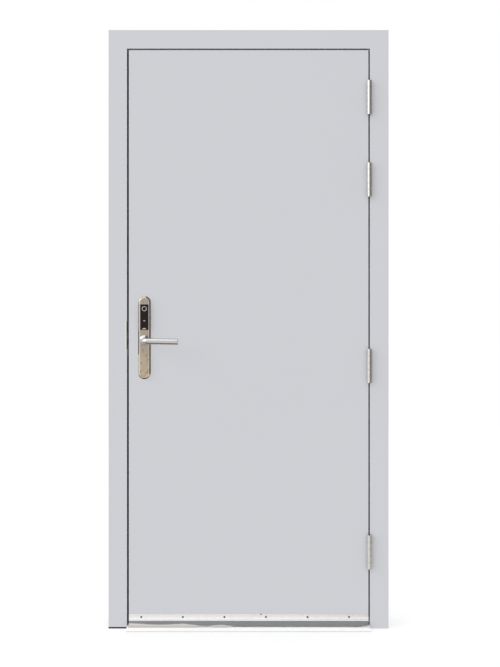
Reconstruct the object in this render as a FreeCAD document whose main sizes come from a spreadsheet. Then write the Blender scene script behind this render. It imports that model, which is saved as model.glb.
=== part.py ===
"""A fire rated steel door: one flush leaf in a pressed steel frame, with four butt hinges,
a narrow electronic lock with a lever each side, a door bottom sweep and a metal threshold.

Millimetres. X runs from the lock side to the hinge side, Y from the viewer to the room behind,
Z up. The origin is on the floor under the middle of the threshold, in the plane of the frame's face.
"""

import FreeCAD, Part
import math
import os
import re
import Sketcher

Vector = FreeCAD.Vector

# Driving dimensions, each written once
SIZES = {
    # frame
    "frame_width": 1050.0,
    "frame_height": 2244.0,
    "frame_depth": 146.0,
    "face_width": 70.0,
    "backbend": 13.0,
    "frame_sheet": 1.5,
    "bend_radius": 2.0,
    "rabbet_depth": 52.0,
    "stop_height": 16.0,
    # leaf
    "leaf_thickness": 45.0,
    "leaf_lift": 34.0,
    "hinge_gap": 5.0,
    "lock_gap": 6.0,
    "head_gap": 6.0,
    "edge_bevel": 2.7,
    "skin_sheet": 1.2,
    "channel_sheet": 1.5,
    "channel_leg": 30.0,
    # hinges
    "hinge_height": 127.0,
    "hinge_leaf_depth": 38.0,
    "hinge_leaf_thickness": 3.4,
    "knuckle_radius": 8.5,
    "knuckle_gap": 0.4,
    "barrel_stand_off": 1.0,
    "pin_radius": 4.5,
    "pin_clearance": 0.08,
    "top_hinge_drop": 179.0,
    "second_hinge_step": 308.0,
    "bottom_hinge_rise": 255.0,
    "reinforcement": 5.0,
    "reinforcement_margin": 18.0,
    "reinforcement_depth": 45.0,
    "fit_gap": 0.2,
    # lock
    "lever_height": 1078.0,
    "backset": 60.0,
    "lock_plate_width": 47.0,
    "lock_plate_rise": 168.0,
    "lock_plate_drop": 143.0,
    "outside_plate_thickness": 14.0,
    "inside_plate_thickness": 22.0,
    "lock_plate_edge": 4.0,
    "reader_width": 31.0,
    "reader_height": 96.0,
    "reader_rise": 89.0,
    "reader_thickness": 3.0,
    "reader_proud": 0.4,
    "reader_edge": 0.3,
    "lock_case_width": 16.0,
    "lock_case_height": 190.0,
    "lock_case_depth": 92.0,
    "lock_front_width": 25.0,
    "lock_front_height": 235.0,
    "lock_front_thickness": 3.0,
    "latch_rise": 22.0,
    "latch_width": 14.0,
    "latch_tall": 20.0,
    "latch_length": 42.0,
    "latch_slope": 9.0,
    "bolt_drop": 42.0,
    "bolt_width": 12.0,
    "bolt_tall": 33.0,
    "bolt_length": 55.0,
    "bolt_slope": 0.5,
    "bolt_clearance": 0.3,
    # lever handles
    "lever_radius": 11.0,
    "lever_reach": 46.0,
    "lever_bend": 21.0,
    "lever_length": 125.4,
    "lever_tip_edge": 1.2,
    "lever_droop": 1.9,
    "collar_radius": 16.5,
    "collar_length": 5.0,
    "lever_clearance": 0.3,
    "spindle_side": 8.0,
    "spindle_bite": 22.0,
    "socket_clearance": 0.05,
    "spindle_bore": 7.0,
    # strike
    "strike_height": 138.0,
    "strike_rise": 7.0,
    "strike_thickness": 1.8,
    "strike_front": 5.0,
    "strike_back": 37.0,
    "lip_height": 105.0,
    "lip_rise": 22.0,
    "lip_turn": 4.0,
    "lip_proud": 1.6,
    "strike_hole_margin": 2.0,
    "strike_box_depth": 24.0,
    "strike_box_wall": 1.0,
    # seals, sweep and threshold
    "seal_thickness": 2.0,
    "seal_width": 10.0,
    "seal_chamfer": 0.8,
    "seal_inset": 3.0,
    "sweep_height": 23.0,
    "sweep_base": 1.8,
    "sweep_bead": 4.4,
    "sweep_bead_height": 10.0,
    "sweep_end_gap": 1.0,
    "lip_slot_depth": 6.0,
    "lip_thickness": 2.0,
    "lip_slot_wall": 1.0,
    "sweep_clearance": 5.0,
    "threshold_front": 40.0,
    "threshold_back": 94.0,
    "threshold_height": 11.0,
    "threshold_nose": 3.0,
    "threshold_bevel": 16.0,
    "threshold_end_gap": 0.5,
    "flute_width": 3.0,
    "flute_depth": 1.0,
    "flute_pitch": 9.0,
    "flute_start": 16.0,
}
FLUTES = 8
KNUCKLES = 5

# Places that several pieces share, as expressions on the sizes
RABBET_X = "(frame_width / 2 - face_width)"
STOP_X = f"({RABBET_X} - stop_height)"
HEAD_RABBET_Z = "(frame_height - face_width)"
REAR_RABBET_Y = "(frame_depth - rabbet_depth)"
LEAF_HINGE_X = f"({RABBET_X} - hinge_gap)"
LEAF_LOCK_X = f"(lock_gap - {RABBET_X})"
LEAF_BOTTOM = "leaf_lift"
LEAF_TOP = f"({HEAD_RABBET_Z} - head_gap)"
LEAF_HEIGHT = f"({LEAF_TOP} - {LEAF_BOTTOM})"
LEAF_MIDDLE = "(leaf_thickness / 2)"
PIN_X = f"({RABBET_X} - hinge_gap / 2)"
PIN_Y = "(-knuckle_radius - barrel_stand_off)"
DOOR_PLATE_X = f"({LEAF_HINGE_X} - hinge_leaf_thickness)"
KNUCKLE_LENGTH = f"((hinge_height - {KNUCKLES - 1} * knuckle_gap) / {KNUCKLES})"
KNUCKLE_STEP = f"({KNUCKLE_LENGTH} + knuckle_gap)"
LEVER_X = f"({LEAF_LOCK_X} + backset)"
LATCH_HEIGHT = "(lever_height + latch_rise)"
BOLT_HEIGHT = "(lever_height - bolt_drop)"
STRIKE_CENTRE = "(lever_height + strike_rise)"
LIP_CENTRE = "(lever_height + lip_rise)"
UPPER_HINGE = f"({LEAF_TOP} - top_hinge_drop)"
SECOND_HINGE = f"({UPPER_HINGE} - second_hinge_step)"
BOTTOM_HINGE = f"({LEAF_BOTTOM} + bottom_hinge_rise)"
HINGE_HEIGHTS = {
    1: UPPER_HINGE,
    2: SECOND_HINGE,
    3: f"(({SECOND_HINGE} + {BOTTOM_HINGE}) / 2)",
    4: BOTTOM_HINGE,
}

document = FreeCAD.newDocument("FireDoor")
sheet = document.addObject("Spreadsheet::Sheet", "Sizes")
nodes = []


def fill_sheet():
    """Write each driving dimension into the sheet, its name beside it and as its alias."""
    for row, (name, size) in enumerate(SIZES.items(), start=1):
        sheet.set(f"A{row}", name)
        sheet.set(f"B{row}", str(size))
        sheet.setAlias(f"B{row}", name)
    document.recompute()


def bound(text):
    """An expression with the name of each size pointing at its cell of the sheet."""
    return re.sub(r"[a-z][a-z0-9_]*", lambda word: "Sizes." + word[0] if word[0] in SIZES else word[0], text)


def value(text):
    """The number that an expression gives now."""
    return float(sheet.evalExpression(bound(text)))


def bind(piece, **expressions):
    """Tie properties to expressions; x, y and z stand for the place."""
    places = {"x": "Placement.Base.x", "y": "Placement.Base.y", "z": "Placement.Base.z"}
    for name, text in expressions.items():
        piece.setExpression(places.get(name, name), bound(text))


def node(piece, label):
    """Give a finished sub-part its name."""
    piece.Label = label
    nodes.append(piece)
    return piece


def new_body(name):
    return document.addObject("PartDesign::Body", name)


def origin_feature(body, role):
    return next(feature for feature in body.Origin.OriginFeatures if feature.Role == role)


def new_sketch(body, name, plane, offset="0"):
    """A sketch on an origin plane of its body, moved along the plane's normal by an offset."""
    sketch = body.newObject("Sketcher::SketchObject", name)
    sketch.AttachmentSupport = [(origin_feature(body, plane), "")]
    sketch.MapMode = "FlatFace"
    sketch.setExpression("AttachmentOffset.Base.z", bound(offset))
    return sketch


def hold(sketch, edge, end, across, up):
    """Tie one point of a sketch to its distances from the sketch's origin."""
    for kind, text in (("DistanceX", across), ("DistanceY", up)):
        number = sketch.addConstraint(Sketcher.Constraint(kind, -1, 1, edge, end, value(text)))
        sketch.setExpression(f"Constraints[{number}]", bound(text))


def draw_polygon(sketch, corners):
    """A closed outline of straight edges through corners given as pairs of expressions."""
    places = [Vector(value(across), value(up), 0) for across, up in corners]
    first = sketch.GeometryCount
    count = len(corners)
    for index in range(count):
        sketch.addGeometry(Part.LineSegment(places[index], places[(index + 1) % count]))
    for index in range(count):
        following = first + (index + 1) % count
        sketch.addConstraint(Sketcher.Constraint("Coincident", first + index, 2, following, 1))
    for index, (across, up) in enumerate(corners):
        hold(sketch, first + index, 1, across, up)


def draw_circle(sketch, across, up, radius):
    centre = Vector(value(across), value(up), 0)
    edge = sketch.addGeometry(Part.Circle(centre, Vector(0, 0, 1), value(radius)))
    number = sketch.addConstraint(Sketcher.Constraint("Radius", edge, value(radius)))
    sketch.setExpression(f"Constraints[{number}]", bound(radius))
    hold(sketch, edge, 3, across, up)


def draw_stadium(sketch, low, high, radius):
    """An upright outline with round ends, whose centres are at the heights low and high."""
    bottom, top, round_end = value(low), value(high), value(radius)
    normal = Vector(0, 0, 1)
    upper = Part.Circle(Vector(0, top, 0), normal, round_end)
    lower = Part.Circle(Vector(0, bottom, 0), normal, round_end)
    sketch.addGeometry(Part.ArcOfCircle(upper, 0, math.pi))
    sketch.addGeometry(Part.LineSegment(Vector(-round_end, top, 0), Vector(-round_end, bottom, 0)))
    sketch.addGeometry(Part.ArcOfCircle(lower, math.pi, 2 * math.pi))
    sketch.addGeometry(Part.LineSegment(Vector(round_end, bottom, 0), Vector(round_end, top, 0)))
    for edge in range(4):
        sketch.addConstraint(Sketcher.Constraint("Tangent", edge, 2, (edge + 1) % 4, 1))
    number = sketch.addConstraint(Sketcher.Constraint("Radius", 0, round_end))
    sketch.setExpression(f"Constraints[{number}]", bound(radius))
    hold(sketch, 0, 3, "0", high)
    hold(sketch, 2, 3, "0", low)


def pad(body, name, sketch, length, backwards=False):
    feature = body.newObject("PartDesign::Pad", name)
    feature.Profile = sketch
    feature.Reversed = backwards
    bind(feature, Length=length)
    document.recompute()
    return feature


def pocket(body, name, sketch, length, backwards=False):
    """Cut a sketch into the body; a cut that takes nothing away is an error."""
    before = body.Shape.Volume
    feature = body.newObject("PartDesign::Pocket", name)
    feature.Profile = sketch
    feature.Reversed = backwards
    bind(feature, Length=length)
    document.recompute()
    if body.Shape.Volume >= before:
        raise RuntimeError(f"{body.Name} {name} cuts nothing")
    return feature


def pocket_through(body, name, sketch):
    """Cut a sketch right through the body, both ways from its plane."""
    before = body.Shape.Volume
    feature = body.newObject("PartDesign::Pocket", name)
    feature.Profile = sketch
    feature.Type = "ThroughAll"
    feature.SideType = "Symmetric"
    document.recompute()
    if body.Shape.Volume >= before:
        raise RuntimeError(f"{body.Name} {name} cuts nothing")
    return feature


def dress(body, kind, name, base, chosen, size):
    """A fillet or chamfer on the edges of the last feature that the test picks."""
    names = [f"Edge{number}" for number, edge in enumerate(base.Shape.Edges, start=1) if chosen(edge)]
    feature = body.newObject(f"PartDesign::{kind}", name)
    feature.Base = (base, names)
    bind(feature, **{"Radius" if kind == "Fillet" else "Size": size})
    document.recompute()
    return feature


def stands_at(corners):
    """A test for edges that run along Z through one of the given corners."""
    places = [(value(across), value(up)) for across, up in corners]

    def chosen(edge):
        low, high = edge.Vertexes[0].Point, edge.Vertexes[-1].Point
        upright = abs(low.x - high.x) < 1e-6 and abs(low.y - high.y) < 1e-6
        return upright and any(math.hypot(low.x - x, low.y - y) < 1e-4 for x, y in places)

    return chosen


def runs_at(corners):
    """A test for edges that run along X through one of the given corners, given as Y and Z."""
    places = [(value(across), value(up)) for across, up in corners]

    def chosen(edge):
        low, high = edge.Vertexes[0].Point, edge.Vertexes[-1].Point
        level = abs(low.y - high.y) < 1e-6 and abs(low.z - high.z) < 1e-6
        return level and any(math.hypot(low.y - y, low.z - z) < 1e-4 for y, z in places)

    return chosen


def lies_at_depth(depth):
    """A test for edges that lie wholly in one plane across Y."""
    place = value(depth)
    return lambda edge: max(abs(edge.BoundBox.YMin - place), abs(edge.BoundBox.YMax - place)) < 1e-4


def box(x, y, z, length, width, height):
    """A box from its low corner and its sizes along X, Y and Z."""
    piece = document.addObject("Part::Box", "Box")
    bind(piece, x=x, y=y, z=z, Length=length, Width=width, Height=height)
    return piece


def bar_through(x, y, z, radius, length):
    """A round bar along Y, from a point on its axis."""
    piece = document.addObject("Part::Cylinder", "Bar")
    piece.Placement.Rotation = FreeCAD.Rotation(Vector(1, 0, 0), -90)
    bind(piece, x=x, y=y, z=z, Radius=radius, Height=length)
    return piece


def joined(pieces, name="Joined"):
    if len(pieces) == 1:
        return pieces[0]
    fused = document.addObject("Part::MultiFuse", name)
    fused.Shapes = pieces
    return fused


def together(pieces, name):
    """Like pieces that don't touch, as one sub-part."""
    group = document.addObject("Part::Compound", name)
    group.Links = pieces
    return group


def less(base, tools, name="Less"):
    """The base without the tools."""
    result = document.addObject("Part::Cut", name)
    result.Base = base
    result.Tool = joined(tools)
    return result


def mortise(low_x, number):
    """The pocket for a hinge leaf, as thick as the leaf, from its low side along X."""
    return box(
        low_x,
        "-fit_gap",
        f"{HINGE_HEIGHTS[number]} - hinge_height / 2 - fit_gap",
        "hinge_leaf_thickness",
        "hinge_leaf_depth + 2 * fit_gap",
        "hinge_height + 2 * fit_gap",
    )


def pressed_section(face_outer, rabbet, stop, inward):
    """Corners of the frame's pressed sheet, as pairs of distance across the opening and depth.

    Outer faces first, from the front backbend to the rear one, and then back inside the sheet.
    inward is the sign of the step from the sheet's visible side into the metal, across the opening.
    """
    outer_in = f"({face_outer} - ({inward}) * frame_sheet)"
    rabbet_in = f"({rabbet} + ({inward}) * frame_sheet)"
    stop_in = f"({stop} + ({inward}) * frame_sheet)"
    visible = [
        (face_outer, "backbend"),
        (face_outer, "0"),
        (rabbet, "0"),
        (rabbet, "rabbet_depth"),
        (stop, "rabbet_depth"),
        (stop, REAR_RABBET_Y),
        (rabbet, REAR_RABBET_Y),
        (rabbet, "frame_depth"),
        (face_outer, "frame_depth"),
        (face_outer, "frame_depth - backbend"),
    ]
    inside = [
        (outer_in, "frame_depth - backbend"),
        (outer_in, "frame_depth - frame_sheet"),
        (rabbet_in, "frame_depth - frame_sheet"),
        (rabbet_in, f"{REAR_RABBET_Y} - frame_sheet"),
        (stop_in, f"{REAR_RABBET_Y} - frame_sheet"),
        (stop_in, "rabbet_depth + frame_sheet"),
        (rabbet_in, "rabbet_depth + frame_sheet"),
        (rabbet_in, "frame_sheet"),
        (outer_in, "frame_sheet"),
        (outer_in, "backbend"),
    ]
    bends = [visible[index] for index in (1, 2, 4, 5, 7, 8)]
    return visible + inside, bends


def jamb(name, side):
    """One upright of the frame, side -1 at the lock and 1 at the hinges, mitred at its top."""
    body = new_body(name)
    outer = f"({side} * frame_width / 2)"
    outline, bends = pressed_section(outer, f"({side} * {RABBET_X})", f"({side} * {STOP_X})", side)
    profile = new_sketch(body, "Section", "XY_Plane")
    draw_polygon(profile, outline)
    upright = pad(body, "Upright", profile, "frame_height")
    rounded = dress(body, "Fillet", "Bends", upright, stands_at(bends), "bend_radius")
    mitre = new_sketch(body, "Mitre", "XZ_Plane")
    reach = "(face_width + 2 * stop_height)"
    draw_polygon(mitre, [
        (outer, "frame_height"),
        (f"{outer} - ({side}) * {reach}", f"frame_height - {reach}"),
        (f"{outer} - ({side}) * {reach}", "frame_height"),
    ])
    body.Tip = rounded
    pocket_through(body, "MitreCut", mitre)
    return body


def head():
    """The top of the frame, the same pressed section as the jambs, mitred at both ends."""
    body = new_body("Head")
    outline, bends = pressed_section(
        "frame_height", HEAD_RABBET_Z, f"({HEAD_RABBET_Z} - stop_height)", 1
    )
    profile = new_sketch(body, "Section", "YZ_Plane", "-frame_width / 2")
    draw_polygon(profile, [(depth, height) for height, depth in outline])
    beam = pad(body, "Beam", profile, "frame_width")
    dress(body, "Fillet", "Bends", beam, runs_at([(d, z) for z, d in bends]), "bend_radius")
    reach = "(face_width + 2 * stop_height)"
    for name, side in (("LockMitre", -1), ("HingeMitre", 1)):
        outer = f"({side} * frame_width / 2)"
        mitre = new_sketch(body, name, "XZ_Plane")
        draw_polygon(mitre, [
            (outer, "frame_height"),
            (f"{outer} - ({side}) * {reach}", f"frame_height - {reach}"),
            (outer, f"frame_height - {reach}"),
        ])
        pocket_through(body, name + "Cut", mitre)
    return body


def jamb_reinforcement(number):
    """The block welded behind the hinge jamb's rabbet, which the hinge screws bite into."""
    return box(
        f"{RABBET_X} + frame_sheet / 2",
        "frame_sheet / 2",
        f"{HINGE_HEIGHTS[number]} - hinge_height / 2 - reinforcement_margin",
        "hinge_leaf_thickness + reinforcement - frame_sheet / 2",
        "reinforcement_depth",
        "hinge_height + 2 * reinforcement_margin",
    )


def build_frame():
    plate_window = box(
        f"-{RABBET_X} - 2 * strike_thickness",
        "strike_front",
        f"{STRIKE_CENTRE} - strike_height / 2",
        "2 * strike_thickness",
        "strike_back - strike_front",
        "strike_height",
    )
    lip_window = box(
        f"-{RABBET_X} - lip_turn",
        "-fit_gap",
        f"{LIP_CENTRE} - lip_height / 2",
        "lip_turn",
        "strike_front + fit_gap",
        "lip_height",
    )
    node(less(jamb("StrikeJamb", "-1"), [plate_window, lip_window]), "strike_jamb")
    blocks = [jamb_reinforcement(number) for number in HINGE_HEIGHTS]
    welded = joined([jamb("HingeJamb", "1")] + blocks)
    node(less(welded, [mortise(RABBET_X, number) for number in HINGE_HEIGHTS]), "hinge_jamb")
    node(head(), "head")


def build_threshold():
    """A low metal saddle with a bevelled nose each way and flutes along its top, notched at the stops."""
    body = new_body("Threshold")
    half = f"({RABBET_X} - threshold_end_gap)"
    profile = new_sketch(body, "Section", "YZ_Plane", f"-{half}")
    outline = [
        ("-threshold_front", "0"),
        ("threshold_back", "0"),
        ("threshold_back", "threshold_nose"),
        ("threshold_back - threshold_bevel", "threshold_height"),
    ]
    for index in reversed(range(FLUTES)):
        near = f"(flute_start + {index} * flute_pitch - threshold_front)"
        outline += [
            (f"{near} + flute_width", "threshold_height"),
            (f"{near} + flute_width * 3 / 4", "threshold_height - flute_depth"),
            (f"{near} + flute_width / 4", "threshold_height - flute_depth"),
            (near, "threshold_height"),
        ]
    outline += [
        ("threshold_bevel - threshold_front - flute_width", "threshold_height"),
        ("-threshold_front", "threshold_nose"),
    ]
    draw_polygon(profile, outline)
    pad(body, "Saddle", profile, f"2 * {half}")
    clear, width = "rabbet_depth - threshold_end_gap", "stop_height + threshold_end_gap"
    notches = [
        box(x, clear, "0", width, "frame_depth", "threshold_height")
        for x in (f"-{RABBET_X}", f"{STOP_X} - threshold_end_gap")
    ]
    node(less(body, notches), "threshold")


def build_strike():
    """The strike plate with its curved lip, and the dust box behind it."""
    low, high = f"{STRIKE_CENTRE} - strike_height / 2", f"{STRIKE_CENTRE} + strike_height / 2"
    plate = box(
        f"-{RABBET_X} - strike_thickness",
        "strike_front",
        low,
        "strike_thickness",
        "strike_back - strike_front",
        "strike_height",
    )
    lip = new_body("Lip")
    lip.Label = "Lip"
    bind(lip, z=f"{LIP_CENTRE} - lip_height / 2")
    bend = new_sketch(lip, "LipSection", "XY_Plane")
    draw_polygon(bend, [
        (f"-{RABBET_X}", "strike_front"),
        (f"-{RABBET_X} - strike_thickness", "strike_front"),
        (f"-{RABBET_X} - strike_thickness", "0"),
        (f"-{RABBET_X} - lip_turn", "-lip_proud / 2"),
        (f"-{RABBET_X} - lip_turn", "-lip_proud"),
        (f"-{RABBET_X} - strike_thickness / 2", "-lip_proud"),
        (f"-{RABBET_X}", "-lip_proud / 2"),
    ])
    pad(lip, "LipPad", bend, "lip_height")
    holes = [
        box(
            f"-{RABBET_X} - 2 * strike_thickness",
            f"{LEAF_MIDDLE} - {width} / 2 - strike_hole_margin",
            f"{height} - {tall} / 2 - strike_hole_margin",
            "3 * strike_thickness",
            f"{width} + 2 * strike_hole_margin",
            f"{tall} + 2 * strike_hole_margin",
        )
        for width, height, tall in (
            ("latch_width", LATCH_HEIGHT, "latch_tall"),
            ("bolt_width", BOLT_HEIGHT, "bolt_tall"),
        )
    ]
    node(less(joined([plate, lip]), holes), "strike_plate")
    outer = box(
        f"-{RABBET_X} - strike_thickness - strike_box_depth",
        "strike_front + strike_box_wall",
        low,
        "strike_box_depth",
        "strike_back - strike_front - 2 * strike_box_wall",
        "strike_height",
    )
    inner = box(
        f"-{RABBET_X} - strike_thickness - strike_box_depth + strike_box_wall",
        "strike_front + 2 * strike_box_wall",
        f"{low} + strike_box_wall",
        "strike_box_depth",
        "strike_back - strike_front - 4 * strike_box_wall",
        "strike_height - 2 * strike_box_wall",
    )
    node(less(outer, [inner]), "strike_box")


def build_seals():
    """Smoke seals on the stops: two upright strips and one under the head."""
    face, foot = "rabbet_depth - seal_thickness", "rabbet_depth"
    for label, side in (("seal_strike", -1), ("seal_hinge", 1)):
        body = new_body("Seal")
        wide = f"({side} * ({RABBET_X} - seal_inset))"
        slim = f"({side} * ({RABBET_X} - seal_inset - seal_width))"
        profile = new_sketch(body, "SealSection", "XY_Plane")
        draw_polygon(profile, [
            (wide, foot),
            (wide, f"{face} + seal_chamfer"),
            (f"{wide} - ({side}) * seal_chamfer", face),
            (f"{slim} + ({side}) * seal_chamfer", face),
            (slim, f"{face} + seal_chamfer"),
            (slim, foot),
        ])
        pad(body, "Strip", profile, f"{HEAD_RABBET_Z} - seal_inset - threshold_height")
        bind(body, z="threshold_height")
        node(body, label)
    body = new_body("Seal")
    top = f"({HEAD_RABBET_Z} - seal_inset)"
    low = f"({HEAD_RABBET_Z} - seal_inset - seal_width)"
    half = f"({RABBET_X} - seal_inset - seal_width)"
    profile = new_sketch(body, "SealSection", "YZ_Plane", f"-{half}")
    draw_polygon(profile, [
        (foot, top),
        (f"{face} + seal_chamfer", top),
        (face, f"{top} - seal_chamfer"),
        (face, f"{low} + seal_chamfer"),
        (f"{face} + seal_chamfer", low),
        (foot, low),
    ])
    pad(body, "Strip", profile, f"2 * {half}")
    node(body, "seal_head")


def hinge_leaf(number, plate_x, first, count):
    """One leaf of a butt hinge: a plate with its knuckles.

    plate_x is the plate's low side; first is the place of its lowest knuckle, from 0, and its
    knuckles take every second place from there.
    """
    body = new_body("HingeLeaf")
    bind(body, z=f"{HINGE_HEIGHTS[number]} - hinge_height / 2")
    far_x = f"({plate_x} + hinge_leaf_thickness)"
    flat = new_sketch(body, "Plate", "XY_Plane")
    draw_polygon(flat, [
        (plate_x, "0"), (far_x, "0"), (far_x, "hinge_leaf_depth"), (plate_x, "hinge_leaf_depth"),
    ])
    pad(body, "PlatePad", flat, "hinge_height")
    start = f"{first} * {KNUCKLE_STEP}"
    ring = new_sketch(body, "Knuckle", "XY_Plane", start)
    draw_circle(ring, PIN_X, PIN_Y, "knuckle_radius")
    knuckle = pad(body, "KnucklePad", ring, KNUCKLE_LENGTH)
    neck_outline = new_sketch(body, "Neck", "XY_Plane", start)
    draw_polygon(neck_outline, [
        (plate_x, PIN_Y), (far_x, PIN_Y), (far_x, "hinge_leaf_thickness"), (plate_x, "hinge_leaf_thickness"),
    ])
    neck = pad(body, "NeckPad", neck_outline, KNUCKLE_LENGTH)
    row = body.newObject("PartDesign::LinearPattern", "Knuckles")
    row.Originals = [knuckle, neck]
    row.Direction = (origin_feature(body, "Z_Axis"), [""])
    row.Occurrences = count
    bind(row, Length=f"{2 * (count - 1)} * {KNUCKLE_STEP}")
    body.Tip = row
    document.recompute()
    return body


def build_hinges():
    """Four hinges whose pins can't be driven out: each pin is fast in the frame leaf's knuckles."""
    for number in HINGE_HEIGHTS:
        fixed = hinge_leaf(number, RABBET_X, 0, 3)
        pin = new_sketch(fixed, "Pin", "XY_Plane")
        draw_circle(pin, PIN_X, PIN_Y, "pin_radius")
        pad(fixed, "PinPad", pin, "hinge_height")
        node(fixed, f"hinge_{number}_frame_leaf")
        turning = hinge_leaf(number, DOOR_PLATE_X, 1, 2)
        bore = new_sketch(turning, "Bore", "XY_Plane")
        draw_circle(bore, PIN_X, PIN_Y, "pin_radius + pin_clearance")
        pocket_through(turning, "BorePocket", bore)
        node(turning, f"hinge_{number}_door_leaf")


def lock_edge(depth):
    """The bevelled lock edge's X at a depth behind the leaf's face."""
    return f"({LEAF_LOCK_X} + edge_bevel * ({depth}) / leaf_thickness)"


def skin(name, outer, inner, seam):
    """A face sheet with its two edges folded in to the seam; outer and inner are its depths."""
    body = new_body(name)
    bind(body, z=LEAF_BOTTOM)
    folded = new_sketch(body, "Fold", "XY_Plane")
    draw_polygon(folded, [
        (lock_edge(outer), outer),
        (LEAF_HINGE_X, outer),
        (LEAF_HINGE_X, seam),
        (f"{LEAF_HINGE_X} - skin_sheet", seam),
        (f"{LEAF_HINGE_X} - skin_sheet", inner),
        (f"{lock_edge(inner)} + skin_sheet", inner),
        (f"{lock_edge(seam)} + skin_sheet", seam),
        (lock_edge(seam), seam),
    ])
    pad(body, "FoldPad", folded, LEAF_HEIGHT)
    return body


def channel(name, web_low, leg_low):
    """A channel that closes the leaf's top or bottom, its legs against the face sheets."""
    left, right = f"({lock_edge('leaf_thickness')} + skin_sheet)", f"({LEAF_HINGE_X} - skin_sheet)"
    length = f"{right} - {left}"
    depth = "leaf_thickness - 2 * skin_sheet"
    web = box(left, "skin_sheet", web_low, length, depth, "channel_sheet")
    near = box(left, "skin_sheet", leg_low, length, "channel_sheet", "channel_leg")
    back = "leaf_thickness - skin_sheet - channel_sheet"
    far = box(left, back, leg_low, length, "channel_sheet", "channel_leg")
    return joined([web, near, far], name)


def leaf_reinforcement_box(number):
    return box(
        f"{LEAF_HINGE_X} - hinge_leaf_thickness - reinforcement",
        "skin_sheet",
        f"{HINGE_HEIGHTS[number]} - hinge_height / 2 - reinforcement_margin",
        "hinge_leaf_thickness + reinforcement - skin_sheet",
        "leaf_thickness - 2 * skin_sheet",
        "hinge_height + 2 * reinforcement_margin",
    )


def lock_front_space():
    """The slot in the leaf's edge that the lock's front plate fills."""
    return box(
        LEAF_LOCK_X,
        f"{LEAF_MIDDLE} - lock_front_width / 2",
        "lever_height - lock_front_height / 2",
        "edge_bevel + lock_front_thickness",
        "lock_front_width",
        "lock_front_height",
    )


def spindle_hole():
    return bar_through(LEVER_X, "-fit_gap", "lever_height", "spindle_bore", "leaf_thickness + 2 * fit_gap")


def build_leaf():
    front = skin("FrontSkin", "0", "skin_sheet", LEAF_MIDDLE)
    back = skin("BackSkin", "leaf_thickness", "leaf_thickness - skin_sheet", LEAF_MIDDLE)
    for label, sheet_metal in (("leaf_front_skin", front), ("leaf_back_skin", back)):
        tools = [mortise(DOOR_PLATE_X, number) for number in HINGE_HEIGHTS]
        tools += [lock_front_space(), spindle_hole()]
        node(less(sheet_metal, tools), label)
    node(channel("TopChannel", f"{LEAF_TOP} - channel_sheet", f"{LEAF_TOP} - channel_leg"), "leaf_top_channel")
    node(channel("BottomChannel", LEAF_BOTTOM, LEAF_BOTTOM), "leaf_bottom_channel")
    plates = [less(leaf_reinforcement_box(number), [mortise(DOOR_PLATE_X, number)]) for number in HINGE_HEIGHTS]
    node(together(plates, "Reinforcements"), "hinge_reinforcements")
    left = f"({lock_edge('leaf_thickness')} + skin_sheet)"
    slab = box(
        left,
        "skin_sheet",
        f"{LEAF_BOTTOM} + channel_leg",
        f"{LEAF_HINGE_X} - skin_sheet - {left}",
        "leaf_thickness - 2 * skin_sheet",
        f"{LEAF_HEIGHT} - 2 * channel_leg",
    )
    lock_pocket = box(
        LEAF_LOCK_X,
        "0",
        "lever_height - lock_case_height / 2",
        "lock_case_depth + lock_front_thickness",
        "leaf_thickness",
        "lock_case_height",
    )
    tools = [leaf_reinforcement_box(number) for number in HINGE_HEIGHTS]
    node(less(slab, tools + [lock_front_space(), lock_pocket]), "leaf_core")


def bolt_space(width, height, tall, length):
    """The way that a bolt slides in, through the lock's front plate and case."""
    return box(
        LEAF_LOCK_X,
        f"{LEAF_MIDDLE} - {width} / 2 - bolt_clearance",
        f"{height} - {tall} / 2 - bolt_clearance",
        f"{length} + edge_bevel + bolt_clearance",
        f"{width} + 2 * bolt_clearance",
        f"{tall} + 2 * bolt_clearance",
    )


def bolt_spaces():
    return [
        bolt_space("latch_width", LATCH_HEIGHT, "latch_tall", "latch_length"),
        bolt_space("bolt_width", BOLT_HEIGHT, "bolt_tall", "bolt_length"),
    ]


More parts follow.
